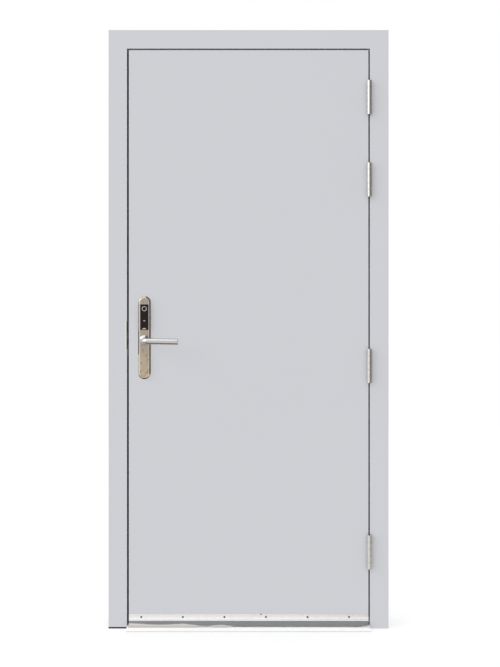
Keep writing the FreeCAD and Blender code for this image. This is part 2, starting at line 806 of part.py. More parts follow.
def build_lock_case():
    """The mortise lock: front plate in the bevelled edge, case, and both bolts drawn back."""
    near, far = f"({LEAF_MIDDLE} - lock_front_width / 2)", f"({LEAF_MIDDLE} + lock_front_width / 2)"
    front = new_body("LockFront")
    bind(front, z="lever_height - lock_front_height / 2")
    section = new_sketch(front, "FrontSection", "XY_Plane")
    draw_polygon(section, [
        (lock_edge(near), near),
        (f"{lock_edge(near)} + lock_front_thickness", near),
        (f"{lock_edge(far)} + lock_front_thickness", far),
        (lock_edge(far), far),
    ])
    pad(front, "FrontPad", section, "lock_front_height")
    node(less(front, bolt_spaces()), "lock_front_plate")
    near, far = f"({LEAF_MIDDLE} - lock_case_width / 2)", f"({LEAF_MIDDLE} + lock_case_width / 2)"
    case = new_body("LockCase")
    bind(case, z="lever_height - lock_case_height / 2")
    section = new_sketch(case, "CaseSection", "XY_Plane")
    case_back = f"({LEAF_LOCK_X} + lock_case_depth + lock_front_thickness)"
    draw_polygon(section, [
        (f"{lock_edge(near)} + lock_front_thickness", near),
        (case_back, near),
        (case_back, far),
        (f"{lock_edge(far)} + lock_front_thickness", far),
    ])
    pad(case, "CasePad", section, "lock_case_height")
    node(less(case, bolt_spaces() + [spindle_hole()]), "lock_case")
    for label, width, height, tall, length, slope in (
        ("latch_bolt", "latch_width", LATCH_HEIGHT, "latch_tall", "latch_length", "latch_slope"),
        ("dead_bolt", "bolt_width", BOLT_HEIGHT, "bolt_tall", "bolt_length", "bolt_slope"),
    ):
        near, far = f"({LEAF_MIDDLE} - {width} / 2)", f"({LEAF_MIDDLE} + {width} / 2)"
        nose = f"({lock_edge(LEAF_MIDDLE)} + edge_bevel / 2)"
        bolt = new_body("Bolt")
        bind(bolt, z=f"{height} - {tall} / 2")
        section = new_sketch(bolt, "BoltSection", "XY_Plane")
        draw_polygon(section, [
            (f"{nose} + {slope}", near),
            (f"{LEAF_LOCK_X} + edge_bevel + {length}", near),
            (f"{LEAF_LOCK_X} + edge_bevel + {length}", far),
            (nose, far),
            (nose, f"{far} - {width} / 4"),
        ])
        pad(bolt, "BoltPad", section, tall)
        node(bolt, label)


def lock_plate(thickness, turned_round):
    """A lock plate with round ends and a bevelled edge, standing on the leaf's face.

    turned_round puts it on the leaf's back face, with the same outline seen through the leaf.
    """
    body = new_body("LockPlate")
    bind(body, x=LEVER_X, y="leaf_thickness" if turned_round else "0", z="lever_height")
    outline = new_sketch(body, "PlateOutline", "XZ_Plane")
    radius = "lock_plate_width / 2"
    draw_stadium(outline, f"{radius} - lock_plate_drop", f"lock_plate_rise - {radius}", radius)
    block = pad(body, "PlatePad", outline, thickness, backwards=turned_round)
    face = thickness if turned_round else f"-{thickness}"
    dress(body, "Chamfer", "Bevel", block, lies_at_depth(face), "lock_plate_edge")
    bore = new_sketch(body, "SpindleBore", "XZ_Plane")
    draw_circle(bore, "0", "0", "spindle_bore")
    pocket_through(body, "SpindlePocket", bore)
    return body


def reader_outline(body, name, offset):
    """The reader window's rectangle, centred above the lever."""
    window = new_sketch(body, name, "XZ_Plane", offset)
    half, tall = "(reader_width / 2)", "(reader_height / 2)"
    draw_polygon(window, [
        (f"-{half}", f"reader_rise - {tall}"),
        (half, f"reader_rise - {tall}"),
        (half, f"reader_rise + {tall}"),
        (f"-{half}", f"reader_rise + {tall}"),
    ])
    return window


def build_lock_plates():
    outside = lock_plate("outside_plate_thickness", False)
    seat = "outside_plate_thickness + reader_proud - reader_thickness"
    recess = reader_outline(outside, "ReaderRecess", seat)
    pocket(outside, "ReaderPocket", recess, "reader_thickness", backwards=True)
    node(outside, "outside_lock_plate")
    node(lock_plate("inside_plate_thickness", True), "inside_lock_plate")

    panel = new_body("Reader")
    bind(panel, x=LEVER_X, z="lever_height")
    block = pad(panel, "PanelPad", reader_outline(panel, "PanelOutline", seat), "reader_thickness")
    face = "-(outside_plate_thickness + reader_proud)"
    dress(panel, "Chamfer", "PanelEdge", block, lies_at_depth(face), "reader_edge")
    node(panel, "reader_panel")


def build_outside_lever():
    """A round lever: a collar at the plate, a neck, one bend and a straight grip that droops a little.

    Drawn with the turning axis along Y through the origin, then placed.
    """
    body = new_body("Lever")
    body.Placement.Rotation = FreeCAD.Rotation(Vector(0, 1, 0), value("lever_droop"))
    body.setExpression("Placement.Rotation.Angle", bound("lever_droop"))
    bind(body, x=LEVER_X, y="-outside_plate_thickness - lever_clearance", z="lever_height")
    neck = new_sketch(body, "NeckSection", "XZ_Plane")
    draw_circle(neck, "0", "0", "lever_radius")
    pad(body, "Neck", neck, "lever_reach - lever_bend")
    turn = new_sketch(body, "BendSection", "XZ_Plane", "lever_reach - lever_bend")
    draw_circle(turn, "0", "0", "lever_radius")
    bend, radius = value("lever_bend"), value("lever_radius")
    axis = Part.LineSegment(Vector(bend, radius, 0), Vector(bend, -radius, 0))
    line = turn.addGeometry(axis, True)
    hold(turn, line, 1, "lever_bend", "lever_radius")
    hold(turn, line, 2, "lever_bend", "-lever_radius")
    bent = body.newObject("PartDesign::Revolution", "Bend")
    bent.Profile = turn
    bent.ReferenceAxis = (turn, ["Axis0"])
    bent.Angle = 90
    bent.Reversed = True
    document.recompute()
    grip = new_sketch(body, "GripSection", "YZ_Plane", "lever_bend")
    draw_circle(grip, "-lever_reach", "0", "lever_radius")
    straight = pad(body, "Grip", grip, "lever_length - lever_bend")
    tip = value("lever_length")

    def at_tip(edge):
        return max(abs(vertex.Point.x - tip) for vertex in edge.Vertexes) < 1e-4

    dress(body, "Chamfer", "TipEdge", straight, at_tip, "lever_tip_edge")
    collar = new_sketch(body, "CollarSection", "XZ_Plane")
    draw_circle(collar, "0", "0", "collar_radius")
    pad(body, "Collar", collar, "collar_length")
    socket = new_sketch(body, "SocketSection", "XZ_Plane")
    half = "(spindle_side / 2 + socket_clearance)"
    draw_polygon(socket, [(f"-{half}", f"-{half}"), (half, f"-{half}"), (half, half), (f"-{half}", half)])
    pocket(body, "Socket", socket, "spindle_bite", backwards=True)
    return node(body, "outside_lever")


def build_levers():
    """The outside lever, its mirror image inside, and the square spindle that joins them."""
    inside = document.addObject("Part::Mirroring", "InsideLever")
    inside.Source = build_outside_lever()
    inside.Normal = Vector(0, 1, 0)
    middle = "(leaf_thickness + inside_plate_thickness - outside_plate_thickness) / 2"
    inside.setExpression("Base.y", bound(middle))
    node(inside, "inside_lever")
    spindle = new_body("Spindle")
    square = new_sketch(spindle, "SpindleSection", "XZ_Plane")
    half = "(spindle_side / 2)"
    draw_polygon(square, [(f"-{half}", f"-{half}"), (half, f"-{half}"), (half, half), (f"-{half}", half)])
    back_end = "leaf_thickness + inside_plate_thickness + spindle_bite"
    pad(spindle, "SpindlePad", square, f"{back_end} + outside_plate_thickness + spindle_bite")
    spindle.Placement.Rotation = FreeCAD.Rotation(Vector(0, 1, 0), value("lever_droop"))
    spindle.setExpression("Placement.Rotation.Angle", bound("lever_droop"))
    bind(spindle, x=LEVER_X, y=back_end, z="lever_height")
    node(spindle, "spindle")


def build_sweep():
    """The door bottom sweep: an aluminium carrier on the leaf's face with a rubber lip in its slot."""
    left, right = f"({LEAF_LOCK_X} + sweep_end_gap)", f"({LEAF_HINGE_X} - sweep_end_gap)"
    length = f"{right} - {left}"
    top = f"({LEAF_BOTTOM} + sweep_height)"
    bead_top = f"({LEAF_BOTTOM} + sweep_bead_height)"
    slot_top = f"({LEAF_BOTTOM} + lip_slot_depth)"
    slot_far, slot_near = "-lip_slot_wall", "(-lip_slot_wall - lip_thickness)"
    carrier = new_body("Carrier")
    section = new_sketch(carrier, "CarrierSection", "YZ_Plane", left)
    draw_polygon(section, [
        ("0", top),
        ("-sweep_base / 2", top),
        ("-sweep_base", f"{top} - sweep_base / 2"),
        ("-sweep_base", f"{bead_top} + sweep_base / 2"),
        ("-sweep_bead", f"{bead_top} - sweep_base"),
        ("-sweep_bead", LEAF_BOTTOM),
        (slot_near, LEAF_BOTTOM),
        (slot_near, slot_top),
        (slot_far, slot_top),
        (slot_far, LEAF_BOTTOM),
        ("0", LEAF_BOTTOM),
    ])
    pad(carrier, "CarrierPad", section, length)
    node(carrier, "sweep_carrier")
    lip_low = "(threshold_height + sweep_clearance)"
    node(
        box(left, slot_near, lip_low, length, "lip_thickness", f"{slot_top} - {lip_low}"),
        "sweep_lip",
    )


def write_parts():
    """Check every object and sub-part, then write each sub-part to its own file."""
    document.recompute()
    for piece in document.Objects:
        if "Invalid" in piece.State or "Error" in piece.State:
            raise RuntimeError(f"{piece.Name} {piece.Label} is {piece.State}")
    for piece in nodes:
        if piece.Shape.isNull() or not piece.Shape.isValid() or not piece.Shape.Solids:
            raise RuntimeError(f"{piece.Label} has no valid solid")
    os.makedirs("parts", exist_ok=True)
    for piece in nodes:
        piece.Shape.exportStep(f"parts/{piece.Label}.step")
        extent = piece.Shape.BoundBox
        print(f"{piece.Label}: {len(piece.Shape.Solids)} solids, {piece.Shape.Volume / 1000:.1f} cm3, "
              f"x {extent.XMin:.1f} to {extent.XMax:.1f}, y {extent.YMin:.1f} to {extent.YMax:.1f}, "
              f"z {extent.ZMin:.1f} to {extent.ZMax:.1f}")


fill_sheet()
build_frame()
build_threshold()
build_strike()
build_seals()
build_hinges()
build_leaf()
build_lock_case()
build_lock_plates()
build_levers()
build_sweep()
write_parts()
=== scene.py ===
"""The looks of a fire rated door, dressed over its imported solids.

Metres in the scene, millimetres in the sizes of each class. X runs from the lock side to the
hinge side, Y from the viewer to the room behind, Z up.
"""

import logging
import math
from collections.abc import Iterable, Sequence
from dataclasses import dataclass
from enum import Enum
from typing import Any

import bmesh
import bpy
from mathutils import Matrix, Vector


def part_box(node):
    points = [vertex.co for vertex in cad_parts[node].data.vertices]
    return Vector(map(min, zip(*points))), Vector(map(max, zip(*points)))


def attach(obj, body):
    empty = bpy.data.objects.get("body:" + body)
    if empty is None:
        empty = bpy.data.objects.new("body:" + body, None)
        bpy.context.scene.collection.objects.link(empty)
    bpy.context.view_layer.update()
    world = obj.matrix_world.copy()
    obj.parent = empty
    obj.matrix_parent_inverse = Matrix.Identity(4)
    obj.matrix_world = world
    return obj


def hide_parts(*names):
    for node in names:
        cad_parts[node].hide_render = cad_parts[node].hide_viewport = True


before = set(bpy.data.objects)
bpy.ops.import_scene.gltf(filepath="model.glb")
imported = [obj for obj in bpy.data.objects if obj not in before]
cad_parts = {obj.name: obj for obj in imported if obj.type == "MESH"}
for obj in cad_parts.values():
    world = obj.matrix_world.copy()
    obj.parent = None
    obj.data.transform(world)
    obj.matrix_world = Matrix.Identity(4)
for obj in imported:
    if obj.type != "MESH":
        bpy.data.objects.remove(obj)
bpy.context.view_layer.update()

MM = 0.001
log = logging.getLogger("door")

Colour = tuple[float, float, float]


# ---------------------------------------------------------------- node trees


class Wire:
    """One output of a node. Arithmetic on it adds Math nodes to the same tree."""

    def __init__(self, bench: "Bench", socket: bpy.types.NodeSocket) -> None:
        """Keeps the socket with the tree that it is in.

        Args:
            bench: The tree's bench.
            socket: The output socket.
        """
        self.bench = bench
        self.socket = socket

    def out(self, name: str) -> "Wire":
        """Another output of the same node.

        Args:
            name: The output's name.

        Returns:
            That output.
        """
        return Wire(self.bench, self.socket.node.outputs[name])

    def _maths(self, operation: str, first: Any, second: Any = 0.0) -> "Wire":
        """One Math node.

        Args:
            operation: The node's operation.
            first: Its first input, a wire or a number.
            second: Its second input, a wire or a number.

        Returns:
            The node's output.
        """
        return self.bench.add("ShaderNodeMath", {"operation": operation}, {0: first, 1: second})

    def __add__(self, other: Any) -> "Wire":
        """This plus another."""
        return self._maths("ADD", self, other)

    def __radd__(self, other: Any) -> "Wire":
        """Another plus this."""
        return self._maths("ADD", other, self)

    def __sub__(self, other: Any) -> "Wire":
        """This less another."""
        return self._maths("SUBTRACT", self, other)

    def __rsub__(self, other: Any) -> "Wire":
        """Another less this."""
        return self._maths("SUBTRACT", other, self)

    def __mul__(self, other: Any) -> "Wire":
        """This times another."""
        return self._maths("MULTIPLY", self, other)

    def __rmul__(self, other: Any) -> "Wire":
        """Another times this."""
        return self._maths("MULTIPLY", other, self)

    def __truediv__(self, other: Any) -> "Wire":
        """This over another."""
        return self._maths("DIVIDE", self, other)

    def __abs__(self) -> "Wire":
        """The size of this, without its sign."""
        return self._maths("ABSOLUTE", self)

    def __gt__(self, other: Any) -> "Wire":
        """One where this is above another, else nought."""
        return self._maths("GREATER_THAN", self, other)

    def __lt__(self, other: Any) -> "Wire":
        """One where this is below another, else nought."""
        return self._maths("LESS_THAN", self, other)

    def at_least(self, other: Any) -> "Wire":
        """The greater of this and another."""
        return self._maths("MAXIMUM", self, other)

    def ramp(self, low: float, high: float) -> "Wire":
        """A smooth step over a range.

        Args:
            low: Where the step gives nought.
            high: Where the step gives one; it may be below low.

        Returns:
            The step.
        """
        if low > high:
            return 1.0 - self.ramp(high, low)
        settings = {"interpolation_type": "SMOOTHSTEP"}
        return self.bench.add("ShaderNodeMapRange", settings, {"Value": self, 1: low, 2: high})


class Bench:
    """A node tree under construction."""

    def __init__(self, tree: bpy.types.NodeTree) -> None:
        """Takes the tree to work on."""
        self.tree = tree

    def add(
        self,
        kind: str,
        settings: dict[str, Any] | None = None,
        inputs: dict[str | int, Any] | None = None,
        out: str | int = 0,
    ) -> Wire:
        """Adds one node.

        Args:
            kind: The node's type.
            settings: Its own properties, set before its sockets.
            inputs: A value, a wire or a list of wires for each named or numbered input.
            out: The output to give back.

        Returns:
            That output.
        """
        node = self.tree.nodes.new(kind)
        for name, value in (settings or {}).items():
            setattr(node, name, value)
        for name, value in (inputs or {}).items():
            for item in value if isinstance(value, list) else [value]:
                if isinstance(item, Wire):
                    self.tree.links.new(item.socket, node.inputs[name])
                else:
                    node.inputs[name].default_value = item
        return Wire(self, node.outputs[out])

    def end(self, kind: str, inputs: dict[str | int, Any]) -> None:
        """Adds a node that has no output.

        Args:
            kind: The node's type.
            inputs: Wires for its inputs.
        """
        node = self.tree.nodes.new(kind)
        for name, wire in inputs.items():
            self.tree.links.new(wire.socket, node.inputs[name])

    def place(self, stretch: Colour = (1.0, 1.0, 1.0), turn: Colour = (0.0, 0.0, 0.0)) -> Wire:
        """Object coordinates, stretched and turned for a pattern.

        Args:
            stretch: The factor on each axis.
            turn: Angles round each axis.

        Returns:
            The coordinates.
        """
        spot = self.add("ShaderNodeTexCoord", out="Object")
        return self.add("ShaderNodeMapping", {}, {"Vector": spot, "Scale": stretch, "Rotation": turn})

    def axes(self) -> tuple[Wire, Wire, Wire]:
        """Object coordinates, in metres.

        Returns:
            Across, back and up, each a wire.
        """
        spot = self.add("ShaderNodeTexCoord", out="Object")
        parts = self.add("ShaderNodeSeparateXYZ", {}, {"Vector": spot})
        return parts, parts.out("Y"), parts.out("Z")

    def noise(self, coords: Wire, size: float, detail: float = 2.0) -> Wire:
        """Soft noise.

        Args:
            coords: Where it is read.
            size: The size of its spots, in metres.
            detail: How many finer layers it has.

        Returns:
            The noise, about one half on average.
        """
        values = {"Vector": coords, "Scale": 1.0 / size, "Detail": detail}
        return self.add("ShaderNodeTexNoise", {}, values)

    def blend(self, mask: Wire, low: Any, high: Any) -> Wire:
        """A colour between two.

        Args:
            mask: Nought for the first colour, one for the second.
            low: The first colour or wire.
            high: The second colour or wire.

        Returns:
            The colour.
        """
        ends = [(*c, 1.0) if isinstance(c, tuple) else c for c in (low, high)]
        return self.add("ShaderNodeMix", {"data_type": "RGBA"}, {0: mask, 6: ends[0], 7: ends[1]}, out=2)

    def relief(self, height: Wire, depth: float) -> Wire:
        """A Bump node.

        Args:
            height: The pattern.
            depth: Its depth, in metres.

        Returns:
            The bent normal.
        """
        return self.add("ShaderNodeBump", {}, {"Height": height, "Distance": depth, "Strength": 1.0})


# ------------------------------------------------------------------ finishes


def shade(colour: Colour, factor: float) -> Colour:
    """A colour made darker or lighter.

    Args:
        colour: The colour, linear.
        factor: What each part is multiplied by.

    Returns:
        The new colour, kept under one.
    """
    return tuple(min(part * factor, 1.0) for part in colour)


@dataclass(frozen=True)
class Finish:
    """What every finish has: a name, a colour in linear light and a roughness."""

    name: str
    colour: Colour
    roughness: float

    def material(self) -> bpy.types.Material:
        """The finish as a material, made once."""
        return bpy.data.materials.get(self.name) or self._make()

    def _make(self) -> bpy.types.Material:
        """Makes the material and dresses its shader."""
        material = bpy.data.materials.new(self.name)
        material.use_nodes = True
        material.diffuse_color = (*self.colour, 1.0)
        bench = Bench(material.node_tree)
        shader = material.node_tree.nodes["Principled BSDF"]
        for name, value in self.constants().items():
            shader.inputs[name].default_value = value
        for name, wire in self.surface(bench).items():
            bench.tree.links.new(wire.socket, shader.inputs[name])
        return material

    def constants(self) -> dict[str, Any]:
        """Values that are the same all over the surface, by shader socket."""
        return {"Metallic": 0.0}

    def surface(self, bench: Bench) -> dict[str, Wire]:
        """What changes over the surface, by shader socket.

        Args:
            bench: The material's tree.

        Returns:
            A wire for each socket.
        """
        raise NotImplementedError

    def spread(self, bench: Bench, tone: Wire, low: float, high: float) -> Wire:
        """The finish's own colour, made darker and lighter by a pattern.

        Args:
            bench: The material's tree.
            tone: The pattern.
            low: The colour's factor where the pattern is nought.
            high: Its factor where the pattern is one.

        Returns:
            The colour.
        """
        return bench.blend(tone, shade(self.colour, low), shade(self.colour, high))


@dataclass(frozen=True)
class SatinPaint(Finish):
    """Sprayed satin paint on sheet steel: fine orange peel and a faint drift of tone."""

    peel: float = 0.0022
    cloud: float = 0.55
    fleck: float = 0.009
    drift: float = 0.012
    relief: float = 0.00003
    # A painted shadow, switched on for the frame: a near-black band at the foot of the lock jamb, where shade
    # falls under it.
    foot_shadow: bool = False
    foot_z: tuple[float, float] = (0.0062, 0.0052)
    foot_x: tuple[float, float] = (-0.44, -0.45)
    foot_shadow_tone: Colour = (0.012, 0.011, 0.011)

    def constants(self) -> dict[str, Any]:
        """A thin clear coat over the pigment."""
        return {"Metallic": 0.0, "Coat Weight": 0.12, "Coat Roughness": 0.3, "Specular IOR Level": 0.35}

    def surface(self, bench: Bench) -> dict[str, Wire]:
        """Orange peel, drift of tone and, on the frame, a painted shadow: a near-black band at the foot of
        the lock jamb.

        Args:
            bench: The material's tree.

        Returns:
            Wires for the colour, roughness and normal.
        """
        coords = bench.place()
        peel = bench.noise(coords, self.peel, 3.0)
        cloud = bench.noise(coords, self.cloud, 3.0)
        fleck = bench.noise(coords, self.fleck, 2.0)
        tone = cloud * 0.7 + fleck * 0.3
        colour = self.spread(bench, tone, 1 - self.drift, 1 + self.drift)
        if self.foot_shadow:
            across, _, up = bench.axes()
            # Painted shadow: the foot of the lock jamb is coloured near black.
            colour = bench.blend(up.ramp(*self.foot_z) * across.ramp(*self.foot_x), colour, self.foot_shadow_tone)
        return {
            "Base Color": colour,
            "Roughness": self.roughness + (peel - 0.5) * 0.12 + (cloud - 0.5) * 0.1,
            "Normal": bench.relief(peel, self.relief),
        }


class Grain(Enum):
    """The way a metal was brushed, as stretch factors of its pattern."""

    ALONG_X = (0.015, 1.0, 1.0)
    ALONG_Y = (1.0, 0.015, 1.0)
    ALONG_Z = (1.0, 1.0, 0.015)


@dataclass(frozen=True)
class BrushedMetal(Finish):
    """Metal with fine brushed lines, broader streaks and soft smudges."""

    grain: Grain = Grain.ALONG_Z
    line: float = 0.0004
    groove: float = 0.000004
    smudge: float = 0.018
    contrast: float = 0.10
    tarnish: Colour = (0.35, 0.30, 0.25)
    tarnish_share: float = 0.12
    metallic: float = 1.0

    def constants(self) -> dict[str, Any]:
        """Full metal, or less of it where the surface is anodised."""
        return {"Metallic": self.metallic}

    def surface(self, bench: Bench) -> dict[str, Wire]:
        """Brushed lines with a little tarnish in the smudges.

        Args:
            bench: The material's tree.

        Returns:
            Wires for the colour, roughness and normal.
        """
        coords = bench.place(self.grain.value)
        lines = bench.noise(coords, self.line, 2.0)
        streaks = bench.noise(coords, self.line * 16, 3.0)
        smudge = bench.noise(bench.place(), self.smudge, 3.0)
        tone = lines * 0.5 + streaks * 0.5
        metal = self.spread(bench, tone, 1 - self.contrast, 1 + self.contrast)
        dull = smudge.ramp(0.42, 0.75) * self.tarnish_share
        return {
            "Base Color": bench.blend(dull, metal, self.tarnish),
            "Roughness": self.roughness + (tone - 0.5) * 0.16 + (smudge - 0.5) * 0.14,
            "Normal": bench.relief(lines, self.groove),
        }


@dataclass(frozen=True)
class WornNickel(BrushedMetal):
    """Satin nickel of the lock plates, browned and mottled below the lever by hands."""

    brown: Colour = (0.70, 0.56, 0.40)
    # Colours of the lock-side bevel: a dark line higher up, and a paler stretch below it.
    edge_dark_tone: Colour = (0.05, 0.045, 0.04)
    edge_pale_tone: Colour = (0.50, 0.475, 0.455)
    # A pale rim round the face: a painted highlight on its rounding, and wear from hands.
    rim_highlight_and_wear_tone: Colour = (0.90, 0.84, 0.77)
    mottle_size: float = 0.0085
    patch_size: float = 0.022
    hands: tuple[float, float] = (1.07, 1.0)
    line_height: tuple[float, float] = (1.027, 1.115)
    line_top: float = 1.218
    line_x: float = -0.4085
    middle_x: float = -0.389
    round_middles: tuple[float, float] = (0.9585, 1.2225)
    bevel_radius: float = 0.0187
    bevel_y: float = -0.0094

    def surface(self, bench: Bench) -> dict[str, Wire]:
        """The brushed metal with brown mottling and a glossier bevel; a pale rim on the face that is a
        painted highlight as well as wear from hands; and on the lock-side bevel a dark line, with a paler
        stretch below it.

        Args:
            bench: The material's tree.

        Returns:
            Wires for the colour, roughness and normal.
        """
        wires = super().surface(bench)
        across, back, up = bench.axes()
        mottle = bench.noise(bench.place(), self.mottle_size, 4.0)
        patch = bench.noise(bench.place((1.0, 1.0, 0.45)), self.patch_size, 3.0)
        lower = up.ramp(*self.hands)
        worn = lower * (0.45 + 0.55 * patch.ramp(0.3, 0.7)) + 0.3 * mottle.ramp(0.45, 0.75)
        colour = bench.blend(worn.ramp(0.0, 1.15), wires["Base Color"], self.brown)
        colour = bench.blend(lower * patch.ramp(0.5, 0.66) * 0.6, colour, shade(self.brown, 0.58))
        speck = mottle.ramp(0.5, 0.62) * (0.5 + 0.4 * lower)
        colour = bench.blend(speck, colour, shade(self.brown, 0.55))
        # The lock-side bevel: a paler stretch low down here, and a dark line higher up, laid on last.
        pale, dark = self.edge_line(across, back, up)
        colour = bench.blend(pale * 0.8, colour, self.edge_pale_tone)
        # Painted highlight and wear: a pale band round the face, just inside the bevel, where the rounding
        # catches the light.
        reach, rim = self.reach(across, up), self.bevel_radius**2
        rim_highlight_and_wear = reach.ramp(rim * 0.66, rim * 0.78) * reach.ramp(rim, rim * 0.93)
        colour = bench.blend(rim_highlight_and_wear * 0.8, colour, self.rim_highlight_and_wear_tone)
        bevel = reach.ramp(rim * 0.97, rim * 1.08)
        # The dark line on the lock-side bevel.
        wires["Base Color"] = bench.blend(dark, colour, self.edge_dark_tone)
        wires["Roughness"] = (wires["Roughness"] + worn * 0.08) * (1.0 - 0.65 * bevel)
        return wires

    def edge_line(self, across: Wire, back: Wire, up: Wire) -> tuple[Wire, Wire]:
        """Where the lock-side bevel is coloured paler, and where it is coloured darker.

        Args:
            across: The place across.
            back: The depth.
            up: The height.

        Returns:
            A mask for each.
        """
        edge = (across < self.line_x) * (back < self.bevel_y)
        foot, top = self.line_height
        low_end = self.round_middles[0]
        pale = up.ramp(foot, foot - 0.003) * up.ramp(low_end - 0.004, low_end)
        dark = up.ramp(foot, foot + 0.002) * (0.95 - 0.5 * up.ramp(top, top + 0.004)) * (up < self.line_top)
        return edge * pale, edge * dark

    def reach(self, across: Wire, up: Wire) -> Wire:
        """The square of the distance from the plate's middle line, the same all along its rim.

        Args:
            across: The place across.
            up: The height.

        Returns:
            The square.
        """
        aside = across - self.middle_x
        below, above = self.round_middles[0] - up, up - self.round_middles[1]
        past = below.at_least(above).at_least(0.0)
        return aside * aside + past * past


@dataclass(frozen=True)
class MillAluminium(BrushedMetal):
    """Extruded aluminium with die lines along it and one small dark nick on its top edge."""

    nick_x: float = 0.0470
    nick_z: float = 0.0542
    nick_radius: float = 0.0034
    nick_tone: Colour = (0.06, 0.055, 0.05)

    def surface(self, bench: Bench) -> dict[str, Wire]:
        """The die lines and the nick.

        Args:
            bench: The material's tree.

        Returns:
            Wires for the colour, roughness and normal.
        """
        wires = super().surface(bench)
        across, _, up = bench.axes()
        off_x, off_z = across - self.nick_x, up - self.nick_z
        nick = (off_x * off_x + off_z * off_z).ramp(self.nick_radius**2, 0.0)
        wires["Base Color"] = bench.blend(nick.ramp(0.0, 0.5) * 0.95, wires["Base Color"], self.nick_tone)
        return wires


@dataclass(frozen=True)
class SillMetal(BrushedMetal):
    """Brushed metal of the threshold, with the front face of its nose coloured darker."""

    nose_y: float = -0.0396
    nose_tone: float = 0.68

    def surface(self, bench: Bench) -> dict[str, Wire]:
        """The brushed metal, and the darker colour on the front face of the nose.

        Args:
            bench: The material's tree.

        Returns:
            Wires for the colour, roughness and normal.
        """
        wires = super().surface(bench)
        _, back, _ = bench.axes()
        nose_colour = shade(self.colour, self.nose_tone)
        # The nose's front face is coloured darker than the rest of the sill.
        wires["Base Color"] = bench.blend(back < self.nose_y, wires["Base Color"], nose_colour)
        return wires


@dataclass(frozen=True)
class Rubber(Finish):
    """Matt rubber, faintly mottled, paler where it is bent: dust, and painted light where the curl leans into
    the light.
    """

    # The pale tone on a curled lip stands for dust and for painted light together.
    dust: Colour = (0.60, 0.57, 0.55)
    lit_dusty_curl: bool = False

    def constants(self) -> dict[str, Any]:
        """A weak reflection."""
        return {"Metallic": 0.0, "Specular IOR Level": 0.25}

    def surface(self, bench: Bench) -> dict[str, Wire]:
        """Fine mottling, and a pale tone of dust and painted light, set by the mesh's own curl attribute.

        Args:
            bench: The material's tree.

        Returns:
            Wires for the colour, roughness and normal.
        """
        grit = bench.noise(bench.place(), 0.0014, 3.0)
        smear = bench.noise(bench.place((0.25, 1.0, 1.0)), 0.02, 3.0)
        colour = self.spread(bench, grit * 0.5 + smear * 0.5, 0.82, 1.18)
        # Dust and painted light: the lip's curled foot is coloured paler, as if lit.
        if self.lit_dusty_curl:
            curl = bench.add("ShaderNodeAttribute", {"attribute_name": "curl"}, {}, out="Fac")
            colour = bench.blend((curl + (smear - 0.5) * 0.3).ramp(0.15, 0.75), colour, self.dust)
        return {
            "Base Color": colour,
            "Roughness": self.roughness + (grit - 0.5) * 0.12,
            "Normal": bench.relief(grit, 0.00003),
        }


@dataclass(frozen=True)
class GlossPlastic(Finish):
    """Glossy moulded plastic with faint dust and hairline scratches."""

    def constants(self) -> dict[str, Any]:
        """A clear hard skin."""
        return {"Metallic": 0.0, "Coat Weight": 0.06, "Coat Roughness": 0.06, "Specular IOR Level": 0.12}

    def surface(self, bench: Bench) -> dict[str, Wire]:
        """Dust in the colour, smudges and scratches in the roughness.

        Args:
            bench: The material's tree.

        Returns:
            Wires for the colour, roughness and normal.
        """
        dust = bench.noise(bench.place(), 0.0011, 4.0)
        smudge = bench.noise(bench.place((1.0, 1.0, 0.4)), 0.012, 3.0)
        scratch = bench.noise(bench.place((0.04, 1.0, 1.0), (0.0, 0.5, 0.0)), 0.0006, 2.0)
        colour = self.spread(bench, dust.ramp(0.55, 0.8) * 0.5, 1.0, 2.2)
        rough = self.roughness + smudge.ramp(0.4, 0.75) * 0.16 + scratch.ramp(0.62, 0.7) * 0.12
        return {"Base Color": colour, "Roughness": rough, "Normal": bench.relief(smudge, 0.00002)}


@dataclass(frozen=True)
class GalvanisedSteel(Finish):
    """Zinc-grey steel with a spangle of flat crystals."""

    crystal: float = 1 / 190

    def constants(self) -> dict[str, Any]:
        """Mostly metal."""
        return {"Metallic": 0.9}

    def surface(self, bench: Bench) -> dict[str, Wire]:
        """Crystals of differing tone and roughness.

        Args:
            bench: The material's tree.

        Returns:
            Wires for the colour and roughness.
        """
        values = {"Vector": bench.place(), "Scale": 1 / self.crystal}
        cells = bench.add("ShaderNodeTexVoronoi", {}, values, "Color")
        tone = bench.add("ShaderNodeSeparateXYZ", {}, {"Vector": cells})
        colour = self.spread(bench, tone, 0.8, 1.2)
        return {"Base Color": colour, "Roughness": self.roughness + (tone.out("Y") - 0.5) * 0.22}


@dataclass(frozen=True)
class CoreBoard(Finish):
    """Pale pressed board, with fibres."""

    def surface(self, bench: Bench) -> dict[str, Wire]:
        """Fibres in the colour and relief.

        Args:
            bench: The material's tree.

        Returns:
            Wires for the colour, roughness and normal.
        """
        fibre = bench.noise(bench.place((0.3, 1.0, 1.0)), 0.0016, 4.0)
        cloud = bench.noise(bench.place(), 0.03, 2.0)
        tone = fibre * 0.6 + cloud * 0.4
        return {
            "Base Color": self.spread(bench, tone, 0.78, 1.16),
            "Roughness": self.roughness + (fibre - 0.5) * 0.1,
            "Normal": bench.relief(fibre, 0.0002),
        }


GREY = (0.517, 0.526, 0.552)
